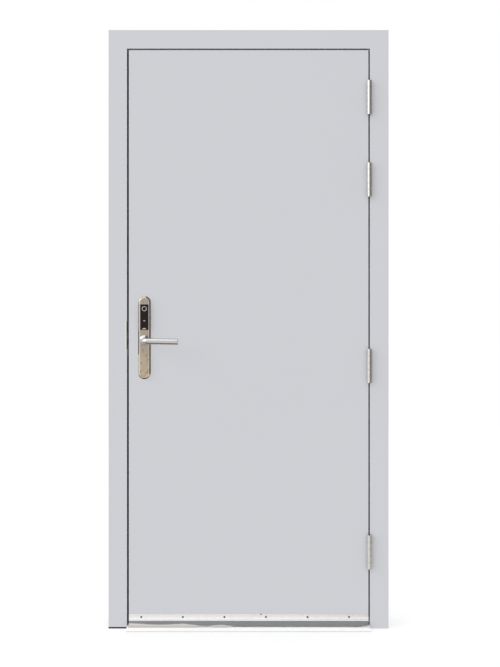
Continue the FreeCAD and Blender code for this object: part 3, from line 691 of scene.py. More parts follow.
# The frame's paint carries the painted shadow at the foot of the lock jamb.
FRAME_PAINT = SatinPaint("frame_satin_paint", GREY, 0.46, foot_shadow=True)
LEAF_PAINT = SatinPaint("leaf_satin_paint", GREY, 0.44)
HINGE_STEEL = BrushedMetal(
    "hinge_satin_steel", (0.76, 0.735, 0.70), 0.24, contrast=0.05, tarnish_share=0.05
)
SATIN_STEEL = BrushedMetal("bolt_satin_steel", (0.62, 0.61, 0.59), 0.32)
LIP_STEEL = BrushedMetal("strike_lip_steel", (0.95, 0.92, 0.87), 0.30, contrast=0.04, tarnish_share=0.04)
LEVER_STEEL = BrushedMetal(
    "lever_satin_steel", (0.66, 0.65, 0.645), 0.20, Grain.ALONG_X, contrast=0.04, tarnish_share=0.05
)
PLATE_NICKEL = WornNickel("lock_plate_nickel", (0.50, 0.435, 0.365), 0.20)
COVER_NICKEL = BrushedMetal("key_cover_nickel", (0.60, 0.50, 0.38), 0.30)
RING_GREY = BrushedMetal("reader_ring_metal", (0.74, 0.71, 0.69), 0.34, Grain.ALONG_X)
TAB_METAL = BrushedMetal("reader_tab_metal", (0.70, 0.62, 0.53), 0.34, Grain.ALONG_X)
READER_BLACK = GlossPlastic("reader_black_plastic", (0.012, 0.009, 0.009), 0.12)
LENS_CLEAR = GlossPlastic("status_lens_plastic", (0.36, 0.33, 0.31), 0.18)
SWEEP_METAL = MillAluminium(
    "sweep_mill_aluminium", (0.95, 0.945, 0.935), 0.20, Grain.ALONG_X,
    contrast=0.03, tarnish_share=0.04, metallic=0.88,
)
THRESHOLD_METAL = SillMetal(
    "threshold_brushed_metal", (0.97, 0.965, 0.96), 0.36, Grain.ALONG_X,
    contrast=0.03, tarnish_share=0.04, metallic=0.2,
)
LIP_RUBBER = Rubber("sweep_lip_rubber", (0.20, 0.207, 0.213), 0.66, lit_dusty_curl=True)
# This black also colours the sheet of painted shade in the lock-side gap.
SEAL_RUBBER = Rubber("smoke_seal_rubber", (0.014, 0.014, 0.015), 0.8)
PLAIN_STEEL = GalvanisedSteel("galvanised_steel", (0.47, 0.48, 0.49), 0.42)
CORE_BOARD = CoreBoard("core_board", (0.52, 0.45, 0.33), 0.85)
SCREW_STEEL = BrushedMetal("screw_steel", (0.17, 0.165, 0.16), 0.30, Grain.ALONG_X)


# ---------------------------------------------------------------- mesh tools

SAME_SPOT = 1e-7
SOLID_MERGE = 2e-6
NEEDLESS_EDGE = math.radians(0.5)
ARC_STEPS = 28
CORNER_STEPS = 6
ROUND_POINTS = 56


def point(x: float, y: float, z: float) -> Vector:
    """A place given in millimetres.

    Args:
        x: Across.
        y: Back.
        z: Up.

    Returns:
        The place in metres.
    """
    return Vector((x * MM, y * MM, z * MM))


def loft(
    mesh: bmesh.types.BMesh, rings: Sequence[Sequence[Vector]], closed: bool = False
) -> list[list[bmesh.types.BMVert]]:
    """Skins a row of rings and closes both ends; a ring of one point closes to a tip.

    Args:
        mesh: The mesh that gets the faces.
        rings: Rings of equal count, or of one point.
        closed: Whether the last ring joins the first, with no ends.

    Returns:
        The points of each ring.
    """
    rows = [[mesh.verts.new(spot) for spot in ring] for ring in rings]
    for low, high in zip(rows, rows[1:] + rows[:1] if closed else rows[1:]):
        count = max(len(low), len(high))
        for here in range(count):
            following = (here + 1) % count
            corners = [low[here % len(low)], low[following % len(low)],
                       high[following % len(high)], high[here % len(high)]]
            mesh.faces.new(list(dict.fromkeys(corners)))
    for row in () if closed else (rows[0], rows[-1]):
        if len(row) > 2:
            mesh.faces.new(row)
    return rows


def ring_round(centre: Vector, axis: Vector, radius: float, count: int, start: Vector) -> list[Vector]:
    """A ring of points round an axis.

    Args:
        centre: Its middle.
        axis: A unit vector along the axis.
        radius: Its radius in metres; nought gives one point.
        count: How many points.
        start: A unit vector across the axis, where the ring starts.

    Returns:
        The points.
    """
    if radius < SAME_SPOT:
        return [centre.copy()]
    side = axis.cross(start)
    turns = [2 * math.pi * index / count for index in range(count)]
    return [centre + radius * (math.cos(turn) * start + math.sin(turn) * side) for turn in turns]


def turned(
    mesh: bmesh.types.BMesh, foot: Vector, axis: Vector, profile: Iterable[tuple[float, float]], count: int
) -> None:
    """Adds a body turned on a lathe.

    Args:
        mesh: The mesh that gets the faces.
        foot: The start of the axis, in metres.
        axis: A unit vector along it.
        profile: Pairs of radius and height in millimetres, from foot to tip.
        count: How many points each ring has.
    """
    start = axis.orthogonal().normalized()
    loft(mesh, [ring_round(foot + axis * h * MM, axis, r * MM, count, start) for r, h in profile])


def stadium(x: float, low: float, high: float, radius: float, y: float, inset: float = 0.0) -> list[Vector]:
    """An upright outline with round ends.

    Args:
        x: Its middle line.
        low: Its bottom.
        high: Its top.
        radius: The radius of its ends.
        y: Its depth.
        inset: How far it is drawn in all round.

    Returns:
        The points, in metres; every size above is in millimetres.
    """
    points = []
    for middle, first in ((high - radius, 0.0), (low + radius, math.pi)):
        for step in range(ARC_STEPS + 1):
            turn = first + math.pi * step / ARC_STEPS
            reach = radius - inset
            points.append(point(x + reach * math.cos(turn), y, middle + reach * math.sin(turn)))
    return points


def rounded_box(
    x: float, z: float, width: float, height: float, corner: float, y: float, inset: float
) -> list[Vector]:
    """A rectangle with round corners, facing along Y.

    Args:
        x: Its middle across.
        z: Its middle upwards.
        width: Its width.
        height: Its height.
        corner: The radius of its corners.
        y: Its depth.
        inset: How far it is drawn in all round.

    Returns:
        The points, in metres; every size above is in millimetres.
    """
    points = []
    for quarter, (side, end) in enumerate(((1, 1), (-1, 1), (-1, -1), (1, -1))):
        for step in range(CORNER_STEPS + 1):
            turn = math.pi / 2 * (quarter + step / CORNER_STEPS)
            reach = max(corner - inset, 0.05)
            points.append(point(
                x + side * (width / 2 - corner) + reach * math.cos(turn),
                y,
                z + end * (height / 2 - corner) + reach * math.sin(turn),
            ))
    return points


def placed(name: str, data: bpy.types.ID) -> bpy.types.Object:
    """Puts a new object into the scene, at the origin.

    Args:
        name: The object's name.
        data: Its mesh, lamp or camera.

    Returns:
        The object.
    """
    thing = bpy.data.objects.new(name, data)
    bpy.context.scene.collection.objects.link(thing)
    return thing


def filed(name: str, mesh: bmesh.types.BMesh) -> bpy.types.Mesh:
    """Writes a working mesh into a new mesh of the scene and frees it.

    Args:
        name: The new mesh's name.
        mesh: The working mesh.

    Returns:
        The new mesh.
    """
    data = bpy.data.meshes.new(name)
    mesh.to_mesh(data)
    mesh.free()
    return data


def sheet_piece(
    name: str, mesh: bmesh.types.BMesh | bpy.types.Mesh, finish: Finish, crease: float = 32.0
) -> bpy.types.Object:
    """Turns a finished mesh into an object with its faces outwards and its shading set.

    Args:
        name: The piece's name.
        mesh: The mesh in place, in metres.
        finish: What it is made of.
        crease: The angle in degrees from which an edge is sharp.

    Returns:
        The object.
    """
    if isinstance(mesh, bmesh.types.BMesh):
        bmesh.ops.remove_doubles(mesh, verts=mesh.verts, dist=SAME_SPOT)
        bmesh.ops.recalc_face_normals(mesh, faces=mesh.faces)
        data = filed(name, mesh)
    else:
        data = mesh
        data.name = name
    data.materials.clear()
    data.materials.append(finish.material())
    data.shade_smooth()
    data.set_sharp_from_angle(angle=math.radians(crease))
    return placed(name, data)


def lofted(
    name: str, rings: Sequence[Sequence[Vector]], finish: Finish, crease: float = 32.0
) -> bpy.types.Object:
    """A piece that is skinned over one row of rings.

    Args:
        name: The piece's name.
        rings: Rings of equal count.
        finish: What it is made of.
        crease: The angle in degrees from which an edge is sharp.

    Returns:
        The piece.
    """
    mesh = bmesh.new()
    loft(mesh, rings)
    return sheet_piece(name, mesh, finish, crease)


def bevelled(piece: bpy.types.Object, width: float, angle: float = 30.0, steps: int = 2) -> bpy.types.Object:
    """Rounds a piece's sharp edges.

    Args:
        piece: The piece.
        width: The width of the rounding in millimetres.
        angle: The angle in degrees from which an edge is rounded.
        steps: How many faces the rounding has.

    Returns:
        The piece.
    """
    modifier = piece.modifiers.new("Rounding", "BEVEL")
    modifier.width = width * MM
    modifier.segments = steps
    modifier.limit_method = "ANGLE"
    modifier.angle_limit = math.radians(angle)
    modifier.harden_normals = True
    return piece


def cleared(node: str) -> bmesh.types.BMesh:
    """A copy of a CAD node's mesh, merged and cleared of needless edges.

    Args:
        node: The node.

    Returns:
        The working mesh.
    """
    mesh = bmesh.new()
    mesh.from_mesh(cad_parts[node].data)
    bmesh.ops.remove_doubles(mesh, verts=mesh.verts, dist=SOLID_MERGE)
    bmesh.ops.dissolve_limit(mesh, angle_limit=NEEDLESS_EDGE, verts=mesh.verts, edges=mesh.edges)
    return mesh


def from_solid(node: str, name: str, finish: Finish, width: float) -> bpy.types.Object:
    """A dressed copy of a CAD node with rounded edges.

    Args:
        node: The node.
        name: The piece's name.
        finish: What it is made of.
        width: The width of its rounding in millimetres.

    Returns:
        The piece.
    """
    return bevelled(sheet_piece(name, filed(name, cleared(node)), finish), width)


def hand_over(piece: bpy.types.Object, body: str, slot: str, *stands_for: str) -> None:
    """Gives a finished piece its body, and hides the nodes that it stands for.

    Args:
        piece: The piece.
        body: The body that it moves with.
        slot: The record's slot for its finish; not used.
        stands_for: The CAD nodes that it replaces.
    """
    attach(piece, body)
    if stands_for:
        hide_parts(*stands_for)
    log.info("%s on %s: %d faces", piece.name, body, len(piece.data.polygons))


def dress_nodes(finish: Finish, *nodes: str) -> None:
    """Gives CAD nodes that stay in view their material.

    Args:
        finish: The finish.
        nodes: The nodes' names.
    """
    for name in nodes:
        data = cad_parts[name].data
        data.materials.clear()
        data.materials.append(finish.material())
        log.info("%s keeps its solid, finished as %s", name, finish.name)


# ------------------------------------------------------------ geometry trees


class Pattern:
    """A Geometry Nodes tree with named inputs, run once on a set of points."""

    def __init__(self, name: str, sizes: dict[str, tuple[str, Any]]) -> None:
        """Opens the tree and its inputs.

        Args:
            name: The tree's name.
            sizes: A socket type and default value for each named input.
        """
        self.tree = bpy.data.node_groups.new(name, "GeometryNodeTree")
        self.bench = Bench(self.tree)
        face = self.tree.interface
        face.new_socket(name="Geometry", in_out="INPUT", socket_type="NodeSocketGeometry")
        face.new_socket(name="Geometry", in_out="OUTPUT", socket_type="NodeSocketGeometry")
        for label, (kind, value) in sizes.items():
            socket = face.new_socket(name=label, in_out="INPUT", socket_type=f"NodeSocket{kind}")
            socket.default_value = value
        face.new_socket(name="Finish", in_out="INPUT", socket_type="NodeSocketMaterial")
        self.given = self.bench.add("NodeGroupInput")

    def close(self, geometry: Wire) -> None:
        """Realises the instances, sets the finish and ends the tree.

        Args:
            geometry: What the tree has made.
        """
        whole = self.bench.add("GeometryNodeRealizeInstances", {}, {"Geometry": geometry})
        finish = self.given.out("Finish")
        dressed = self.bench.add("GeometryNodeSetMaterial", {}, {"Geometry": whole, "Material": finish})
        self.bench.end("NodeGroupOutput", {"Geometry": dressed})

    def mesh(
        self, name: str, finish: Finish, sizes: dict[str, Any], spots: Sequence[Vector]
    ) -> bpy.types.Mesh:
        """Runs the tree.

        Args:
            name: The mesh's name.
            finish: The finish that the tree sets.
            sizes: A value for each input that differs from its default.
            spots: The points that the tree works on, in metres.

        Returns:
            The plain mesh.
        """
        seeds = bpy.data.meshes.new(name)
        seeds.from_pydata([tuple(spot) for spot in spots], [], [])
        holder = placed(name + "_holder", seeds)
        modifier = holder.modifiers.new("Pattern", "NODES")
        modifier.node_group = self.tree
        sockets = [item for item in self.tree.interface.items_tree if item.in_out == "INPUT"]
        identifiers = {item.name: item.identifier for item in sockets}
        for label, value in {**sizes, "Finish": finish.material()}.items():
            modifier[identifiers[label]] = value
        graph = bpy.context.evaluated_depsgraph_get()
        made = bpy.data.meshes.new_from_object(holder.evaluated_get(graph))
        holder.modifiers.remove(modifier)
        bpy.data.objects.remove(holder)
        return made


class ScrewPattern(Pattern):
    """Domed screw heads with a cross recess, one on each point, each turned its own way."""

    def __init__(self) -> None:
        """Builds the tree."""
        super().__init__("screw_heads", {
            "Head diameter": ("Float", 0.008),
            "Head height": ("Float", 0.0015),
            "Recess length": ("Float", 0.0044),
            "Recess width": ("Float", 0.0011),
            "Recess depth": ("Float", 0.0008),
            "Facing": ("Vector", (0.0, 0.0, 1.0)),
            "Seed": ("Int", 7),
        })
        bench, given = self.bench, self.given
        radius = given.out("Head diameter") * 0.5
        ball = bench.add("GeometryNodeMeshUVSphere", {}, {"Segments": 24, "Rings": 10, "Radius": radius})
        here = bench.add("ShaderNodeSeparateXYZ", {}, {"Vector": bench.add("GeometryNodeInputPosition")})
        height = given.out("Head height")
        lifted = here.out("Z").at_least(0.0) * height / radius
        spot = bench.add("ShaderNodeCombineXYZ", {}, {"X": here, "Y": here.out("Y"), "Z": lifted})
        dome = bench.add("GeometryNodeSetPosition", {}, {"Geometry": ball, "Position": spot})
        long, slim = given.out("Recess length"), given.out("Recess width")
        deep = given.out("Recess depth") * 2.0
        top = bench.add("ShaderNodeCombineXYZ", {}, {"Z": height})
        bars = []
        for across, back in ((long, slim), (slim, long)):
            size = bench.add("ShaderNodeCombineXYZ", {}, {"X": across, "Y": back, "Z": deep})
            bar = bench.add("GeometryNodeMeshCube", {}, {"Size": size})
            bars.append(bench.add("GeometryNodeTransform", {}, {"Geometry": bar, "Translation": top}))
        cut = {"operation": "DIFFERENCE", "solver": "EXACT"}
        head = bench.add("GeometryNodeMeshBoolean", cut, {"Mesh 1": dome, "Mesh 2": bars})
        aim = bench.add("FunctionNodeAlignRotationToVector", {"axis": "Z"}, {"Vector": given.out("Facing")})
        angles = {2: 0.0, 3: math.pi / 2, "Seed": given.out("Seed")}
        spin = bench.add("FunctionNodeRandomValue", {}, angles, out=1)
        twist = bench.add("FunctionNodeEulerToRotation", {}, {
            "Euler": bench.add("ShaderNodeCombineXYZ", {}, {"Z": spin}),
        })
        turn = bench.add(
            "FunctionNodeRotateRotation", {"rotation_space": "LOCAL"}, {"Rotation": aim, "Rotate By": twist}
        )
        self.close(bench.add("GeometryNodeInstanceOnPoints", {}, {
            "Points": given.out("Geometry"), "Instance": head, "Rotation": turn,
        }))


class HingeLeafPattern(Pattern):
    """One leaf of a butt hinge: its plate, and a knuckle with a neck on each point."""

    def __init__(self) -> None:
        """Builds the tree."""
        super().__init__("hinge_leaf", {
            "Plate middle": ("Vector", (0.0, 0.0, 0.0)),
            "Plate size": ("Vector", (0.0034, 0.038, 0.127)),
            "Knuckle radius": ("Float", 0.0085),
            "Knuckle height": ("Float", 0.025),
            "Neck middle": ("Vector", (0.0, 0.0, 0.0)),
            "Neck size": ("Vector", (0.0034, 0.0129, 0.025)),
        })
        bench, given = self.bench, self.given
        plate = bench.add("GeometryNodeTransform", {}, {
            "Geometry": bench.add("GeometryNodeMeshCube", {}, {"Size": given.out("Plate size")}),
            "Translation": given.out("Plate middle"),
        })
        barrel = bench.add("GeometryNodeMeshCylinder", {}, {
            "Vertices": 48, "Radius": given.out("Knuckle radius"), "Depth": given.out("Knuckle height"),
        })
        neck = bench.add("GeometryNodeTransform", {}, {
            "Geometry": bench.add("GeometryNodeMeshCube", {}, {"Size": given.out("Neck size")}),
            "Translation": given.out("Neck middle"),
        })
        knuckle = bench.add("GeometryNodeJoinGeometry", {}, {"Geometry": [barrel, neck]})
        row = bench.add("GeometryNodeInstanceOnPoints", {}, {
            "Points": given.out("Geometry"), "Instance": knuckle,
        })
        self.close(bench.add("GeometryNodeJoinGeometry", {}, {"Geometry": [plate, row]}))


@dataclass(frozen=True)
class ScrewSet:
    """Screws of one size that face one way on one body."""

    name: str
    body: str
    slot: str
    facing: Colour
    spots: tuple[Colour, ...]
    diameter: float = 8.0
    height: float = 0.7
    finish: Finish = SATIN_STEEL
    seed: int = 3
    recess_length: float = 0.56
    recess_width: float = 0.14
    recess_depth: float = 0.7
    deepest: float = 0.9

    def build(self, pattern: ScrewPattern) -> None:
        """Makes the screws in one piece.

        Args:
            pattern: The tree that makes them.
        """
        sizes = {
            "Head diameter": self.diameter * MM,
            "Head height": self.height * MM,
            "Recess length": self.diameter * self.recess_length * MM,
            "Recess width": self.diameter * self.recess_width * MM,
            "Recess depth": min(self.height * self.recess_depth, self.deepest) * MM,
            "Facing": self.facing,
            "Seed": self.seed,
        }
        made = pattern.mesh(self.name, self.finish, sizes, [point(*spot) for spot in self.spots])
        hand_over(sheet_piece(self.name, made, self.finish), self.body, self.slot)


# -------------------------------------------------------------- sub-assemblies


@dataclass
class DoorFrame:
    """The pressed frame with its seals, and the threshold between its feet."""

    threshold_screws_x: tuple[float, ...] = (-400.0, -133.0, 133.0, 400.0)
    threshold_screws_y: tuple[float, ...] = (-14.0, 71.5)
    threshold_screws_z: float = 10.9

    def build(self, screws: ScrewPattern) -> None:
        """Finishes the frame, its seals and the threshold.

        Args:
            screws: The tree for the threshold's screws.
        """
        dress_nodes(FRAME_PAINT, "strike_jamb", "hinge_jamb", "head")
        dress_nodes(SEAL_RUBBER, "seal_strike", "seal_hinge", "seal_head")
        sill = from_solid("threshold", "threshold_saddle", THRESHOLD_METAL, 0.35)
        hand_over(sill, "frame", "threshold_steel", "threshold")
        spots = tuple(
            (x, y, self.threshold_screws_z) for x in self.threshold_screws_x for y in self.threshold_screws_y
        )
        ScrewSet("threshold_screws", "frame", "plain_steel", (0, 0, 1), spots, 8.5, 0.8).build(screws)


@dataclass
class Strike:
    """The strike plate with its screws, and the dust box behind it."""

    face_x: float = -455.0
    middle_y: float = 21.0
    screw_heights: tuple[float, ...] = (1023.5, 1084.0, 1146.5)
    lip_low: float = 1047.5
    lip_high: float = 1152.5
    lip_line: tuple[tuple[float, float], ...] = (
        (-461.6, 0.1), (-461.6, -0.7), (-461.2, -1.2), (-460.2, -1.5), (-459.0, -1.4), (-457.6, -0.6),
        (-456.4, 0.8), (-455.5, 2.8), (-455.0, 5.4), (-455.6, 5.4), (-457.0, 1.6), (-458.6, 0.1),
    )
    # A near-black sheet in the lock-side gap: painted shade for that gap, shaped as a seal.
    gap_shade_heights: tuple[tuple[float, float], ...] = ((11.5, 1015.0), (1155.0, 2173.0))
    gap_shade_depth: tuple[float, float] = (0.8, 49.5)
    gap_shade_thickness: float = 0.25

    def build(self, screws: ScrewPattern) -> None:
        """Finishes the strike.

        Args:
            screws: The tree for its screws.
        """
        plate = from_solid("strike_plate", "strike_plate_rounded", SATIN_STEEL, 0.3)
        hand_over(plate, "frame", "satin_steel", "strike_plate")
        dress_nodes(PLAIN_STEEL, "strike_box")
        rings = [[point(x, y, z) for x, y in self.lip_line] for z in (self.lip_low, self.lip_high)]
        hand_over(lofted("strike_lip", rings, LIP_STEEL, 40.0), "frame", "satin_steel")
        self.gasket()
        spots = tuple((self.face_x - 0.1, self.middle_y, height) for height in self.screw_heights)
        ScrewSet("strike_screws", "frame", "satin_steel", (1, 0, 0), spots, 7.0, 0.6).build(screws)

    def gasket(self) -> None:
        """Makes a thin near-black sheet on the lock side's rabbet, above and below the strike: painted shade
        for the dark gap there, shaped as a seal.
        """
        near, far = self.gap_shade_depth
        back, face = self.face_x, self.face_x + self.gap_shade_thickness
        outline = (
            (back, near), (back + 0.1, near), (face, near + 0.3),
            (face, far - 0.3), (back + 0.1, far), (back, far),
        )
        mesh = bmesh.new()
        for heights in self.gap_shade_heights:
            loft(mesh, [[point(x, y, z) for x, y in outline] for z in heights])
        hand_over(sheet_piece("lock_side_gasket", mesh, SEAL_RUBBER), "frame", "seal_rubber")


@dataclass
class Hinges:
    """Four butt hinges of five knuckles, their screws and the buttons of their pins."""

    height: float = 127.0
    plate_thickness: float = 3.4
    plate_depth: float = 38.0
    knuckle_radius: float = 9.3
    knuckle_gap: float = 0.4
    knuckles: int = 5
    pin_x: float = 452.5
    pin_y: float = -9.5
    frame_plate_x: float = 455.0
    door_plate_x: float = 446.6
    screw_places: tuple[tuple[float, float], ...] = (
        (24.0, -47.0), (12.0, -18.0), (24.0, 18.0), (12.0, 47.0),
    )
    button: tuple[tuple[float, float], ...] = (
        (0.0, -0.2), (5.6, -0.2), (5.6, 0.1), (5.2, 0.35), (4.2, 0.5), (0.0, 0.55),
    )

    def middles(self) -> list[float]:
        """The heights of the four hinges' middles, from their nodes."""
        boxes = [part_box(f"hinge_{number}_frame_leaf") for number in range(1, 5)]
        return [(low.z + high.z) / 2 / MM for low, high in boxes]

    def build(self, screws: ScrewPattern) -> None:
        """Makes both leaves of each hinge, then the screws and pin buttons.

        Args:
            screws: The tree for the screws.
        """
        pattern = HingeLeafPattern()
        for number, middle in enumerate(self.middles(), start=1):
            self.leaf(pattern, number, middle, "frame", self.frame_plate_x, 0)
            self.leaf(pattern, number, middle, "door", self.door_plate_x, 1)
        self.buttons()
        for side, body, x, facing in (
            ("frame", "frame", self.frame_plate_x + 0.1, -1.0),
            ("door", "door_leaf", self.door_plate_x + self.plate_thickness - 0.1, 1.0),
        ):
            spots = tuple((x, y, middle + rise) for middle in self.middles() for y, rise in self.screw_places)
            name = f"hinge_{side}_screws"
            ScrewSet(name, body, "hinge_steel", (facing, 0.0, 0.0), spots, 8.5, 0.6).build(screws)

    def leaf(
        self, pattern: HingeLeafPattern, number: int, middle: float, side: str, plate_x: float, first: int
    ) -> None:
        """Makes one leaf.

        Args:
            pattern: The tree that makes it.
            number: The hinge's number, from the top.
            middle: The height of its middle.
            side: The word "frame" or "door".
            plate_x: The plate's low side.
            first: The place of its lowest knuckle, from nought.
        """
        step = (self.height + self.knuckle_gap) / self.knuckles
        tall = step - self.knuckle_gap
        bottom = middle - self.height / 2 + tall / 2
        spots = [
            point(self.pin_x, self.pin_y, bottom + place * step) for place in range(first, self.knuckles, 2)
        ]
        plate_middle = plate_x + self.plate_thickness / 2
        node = f"hinge_{number}_{side}_leaf"
        sizes = {
            "Plate middle": point(plate_middle, self.plate_depth / 2, middle),
            "Plate size": point(self.plate_thickness, self.plate_depth, self.height),
            "Knuckle radius": self.knuckle_radius * MM,
            "Knuckle height": tall * MM,
            "Neck middle": point(plate_middle - self.pin_x, (self.plate_thickness - self.pin_y) / 2, 0),
            "Neck size": point(self.plate_thickness, self.plate_thickness - self.pin_y, tall),
        }
        made = pattern.mesh(node + "_plate", HINGE_STEEL, sizes, spots)
        piece = bevelled(sheet_piece(node + "_plate", made, HINGE_STEEL), 0.45, 40.0)
        hand_over(piece, "frame" if side == "frame" else "door_leaf", "hinge_steel", node)

    def buttons(self) -> None:
        """Makes the low round button at each end of each pin."""
        mesh = bmesh.new()
        for middle in self.middles():
            for way in (1, -1):
                foot = point(self.pin_x, self.pin_y, middle + way * self.height / 2)
                turned(mesh, foot, Vector((0, 0, way)), self.button, 32)
        hand_over(sheet_piece("hinge_pin_buttons", mesh, HINGE_STEEL), "frame", "hinge_steel")


@dataclass
class Leaf:
    """The flush leaf: painted face sheets with rounded folds, channels, core and hinge reinforcements."""

    fold: float = 1.6
    shortest_fold: float = 20.0
    fold_reach: float = 3.0

    def build(self) -> None:
        """Finishes the leaf."""
        for side in ("front", "back"):
            node = f"leaf_{side}_skin"
            piece = self.skin(node, side == "front")
            hand_over(piece, "door_leaf", "leaf_paint", node)
        dress_nodes(LEAF_PAINT, "leaf_top_channel", "leaf_bottom_channel")
        dress_nodes(PLAIN_STEEL, "hinge_reinforcements")
        dress_nodes(CORE_BOARD, "leaf_core")

    def skin(self, node: str, front: bool) -> bpy.types.Object:
        """A copy of a face sheet whose two long outer folds are rounded.

        Args:
            node: The sheet's node.
            front: Whether it faces the viewer.

        Returns:
            The piece.
        """
        mesh = cleared(node)
        low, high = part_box(node)
        face = low.y if front else high.y
        weights = mesh.edges.layers.float.new("bevel_weight_edge")
        for edge in mesh.edges:
            ends = [vert.co for vert in edge.verts]
            upright = abs(ends[0].z - ends[1].z) > self.shortest_fold * MM
            at_face = all(abs(end.y - face) < 1e-5 for end in ends)
            outer = all(min(end.x - low.x, high.x - end.x) < self.fold_reach * MM for end in ends)
            if upright and at_face and outer:
                edge[weights] = 1.0
        data = filed(node + "_sheet", mesh)
        piece = sheet_piece(node + "_sheet", data, LEAF_PAINT)
        data.shade_flat()
        modifier = piece.modifiers.new("Fold", "BEVEL")
        modifier.width = self.fold * MM
        modifier.segments = 4
        modifier.limit_method = "WEIGHT"
        return piece


@dataclass
class LockSet:
    """The lock's outside and inside plates with their reader, key cover, front plate, bolts and case."""

    x: float = -389.0
    low: float = 935.0
    high: float = 1246.0
    radius: float = 23.5
    outside_face: float = -14.0
    inside_foot: float = 45.0
    inside_face: float = 67.0
    reader_z: float = 1167.0
    reader_width: float = 31.7
    reader_height: float = 96.0
    reader_proud: float = 0.4
    ring_z: float = 1198.7
    ring_radius: float = 9.0
    ring_width: float = 2.0
    lens_z: float = 1153.6
    lens_width: float = 7.6
    lens_height: float = 3.6
    tab_width: float = 15.0
    tab_rise: float = 4.4
    tab_lift: float = 3.4
    cover_low: float = 969.0
    cover_high: float = 1021.5
    cover_radius: float = 9.2
    latch_throw: float = 2.8
    latch_height: float = 8.4
    front_screw_x: float = -447.75
    front_screw_y: float = 22.5
    front_screw_heights: tuple[float, ...] = (970.0, 1186.0)
    back_screw_heights: tuple[float, ...] = (960.0, 1221.0)
    edge: tuple[tuple[float, float], ...] = (
        (0.0, 4.7), (0.12, 4.2), (0.5, 3.7), (4.9, 0.5), (5.4, 0.14), (6.0, 0.0), (6.5, 0.0),
    )

    def build(self, screws: ScrewPattern) -> None:
        """Makes and finishes the whole lock.

        Args:
            screws: The tree for its screws.
        """
        self.plate("outside_lock_plate", 0.0, self.outside_face)
        self.plate("inside_lock_plate", self.inside_foot, self.inside_face)
        self.reader()
        self.key_cover()
        front = from_solid("lock_front_plate", "lock_front_plate_rounded", SATIN_STEEL, 0.3)
        hand_over(front, "door_leaf", "satin_steel", "lock_front_plate")
        for bolt in ("latch_bolt", "dead_bolt"):
            hand_over(from_solid(bolt, bolt + "_rounded", SATIN_STEEL, 0.5), "door_leaf", "satin_steel", bolt)
        dress_nodes(PLAIN_STEEL, "lock_case")
        self.latch_nose()
        spots = tuple((self.front_screw_x, self.front_screw_y, z) for z in self.front_screw_heights)
        facing = (-0.998, 0.06, 0.0)
        ScrewSet("lock_front_screws", "door_leaf", "satin_steel", facing, spots, 8.0, 0.6).build(screws)
        spots = tuple((self.x, self.inside_face - 0.1, z) for z in self.back_screw_heights)
        ScrewSet("inside_plate_screws", "door_leaf", "satin_nickel", (0, 1, 0), spots, 9.0, 1.0).build(screws)

    def latch_nose(self) -> None:
        """Makes the part of the latch that shows in the gap: a low nose, bevelled towards the room behind."""
        low, high = (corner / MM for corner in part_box("latch_bolt"))
        foot, tip, top = low.x + 1.0, low.x - self.latch_throw, high.z - 0.6
        outline = (
            (foot, low.y + 0.4), (tip + 0.4, low.y + 0.4), (tip, low.y + 0.8),
            (tip, low.y + 5.0), (low.x - 0.6, high.y - 0.8), (foot, high.y - 0.4),
        )
        rings = [[point(x, y, z) for x, y in outline] for z in (top - self.latch_height, top)]
        hand_over(lofted("latch_nose", rings, SATIN_STEEL), "door_leaf", "satin_steel")

    def plate(self, node: str, foot: float, face: float) -> None:
        """Makes one lock plate with a softened bevel.

        Args:
            node: The node that it replaces.
            foot: The depth where it stands on the leaf.
            face: The depth of its face.
        """
        way = 1 if face > foot else -1
        rings = [stadium(self.x, self.low, self.high, self.radius, foot)]
        for inset, back in self.edge:
            rings.append(stadium(self.x, self.low, self.high, self.radius, face - way * back, inset))
        body = lofted(node + "_body", rings, PLATE_NICKEL)
        body.visible_diffuse = False
        hand_over(body, "door_leaf", "satin_nickel", node)

    def reader(self) -> None:
        """Makes the reader panel, then its ring, status lens and tab."""
        face = self.outside_face - self.reader_proud
        rings = [
            rounded_box(self.x, self.reader_z, self.reader_width, self.reader_height, 1.6, face + back, inset)
            for inset, back in ((0.0, 1.4), (0.0, 0.3), (0.1, 0.1), (0.35, 0.0), (0.8, 0.0))
        ]
        window = lofted("reader_panel_window", rings, READER_BLACK)
        hand_over(window, "door_leaf", "reader_black", "reader_panel")
        self.ring(face)
        rings = [
            rounded_box(self.x, self.lens_z, self.lens_width, self.lens_height, 1.75, face - rise, inset)
            for inset, rise in ((0.0, -0.2), (0.0, 0.15), (0.4, 0.35), (1.0, 0.45))
        ]
        hand_over(lofted("status_lens", rings, LENS_CLEAR), "door_leaf", "reader_black")
        self.tab(face)

    def ring(self, face: float) -> None:
        """Makes the plain ring on the reader.

        Args:
            face: The depth of the reader's face.
        """
        inner, outer = self.ring_radius - self.ring_width, self.ring_radius
        section = ((inner, -0.2), (inner, 0.25), (inner + 0.15, 0.35),
                   (outer - 0.15, 0.35), (outer, 0.25), (outer, -0.2))
        forward, across = Vector((0, -1, 0)), Vector((1, 0, 0))
        mesh = bmesh.new()
        rings = [
            ring_round(point(self.x, face - rise, self.ring_z), forward, radius * MM, ROUND_POINTS, across)
            for radius, rise in section
        ]
        loft(mesh, rings, closed=True)
        hand_over(sheet_piece("reader_ring", mesh, RING_GREY), "door_leaf", "satin_steel")

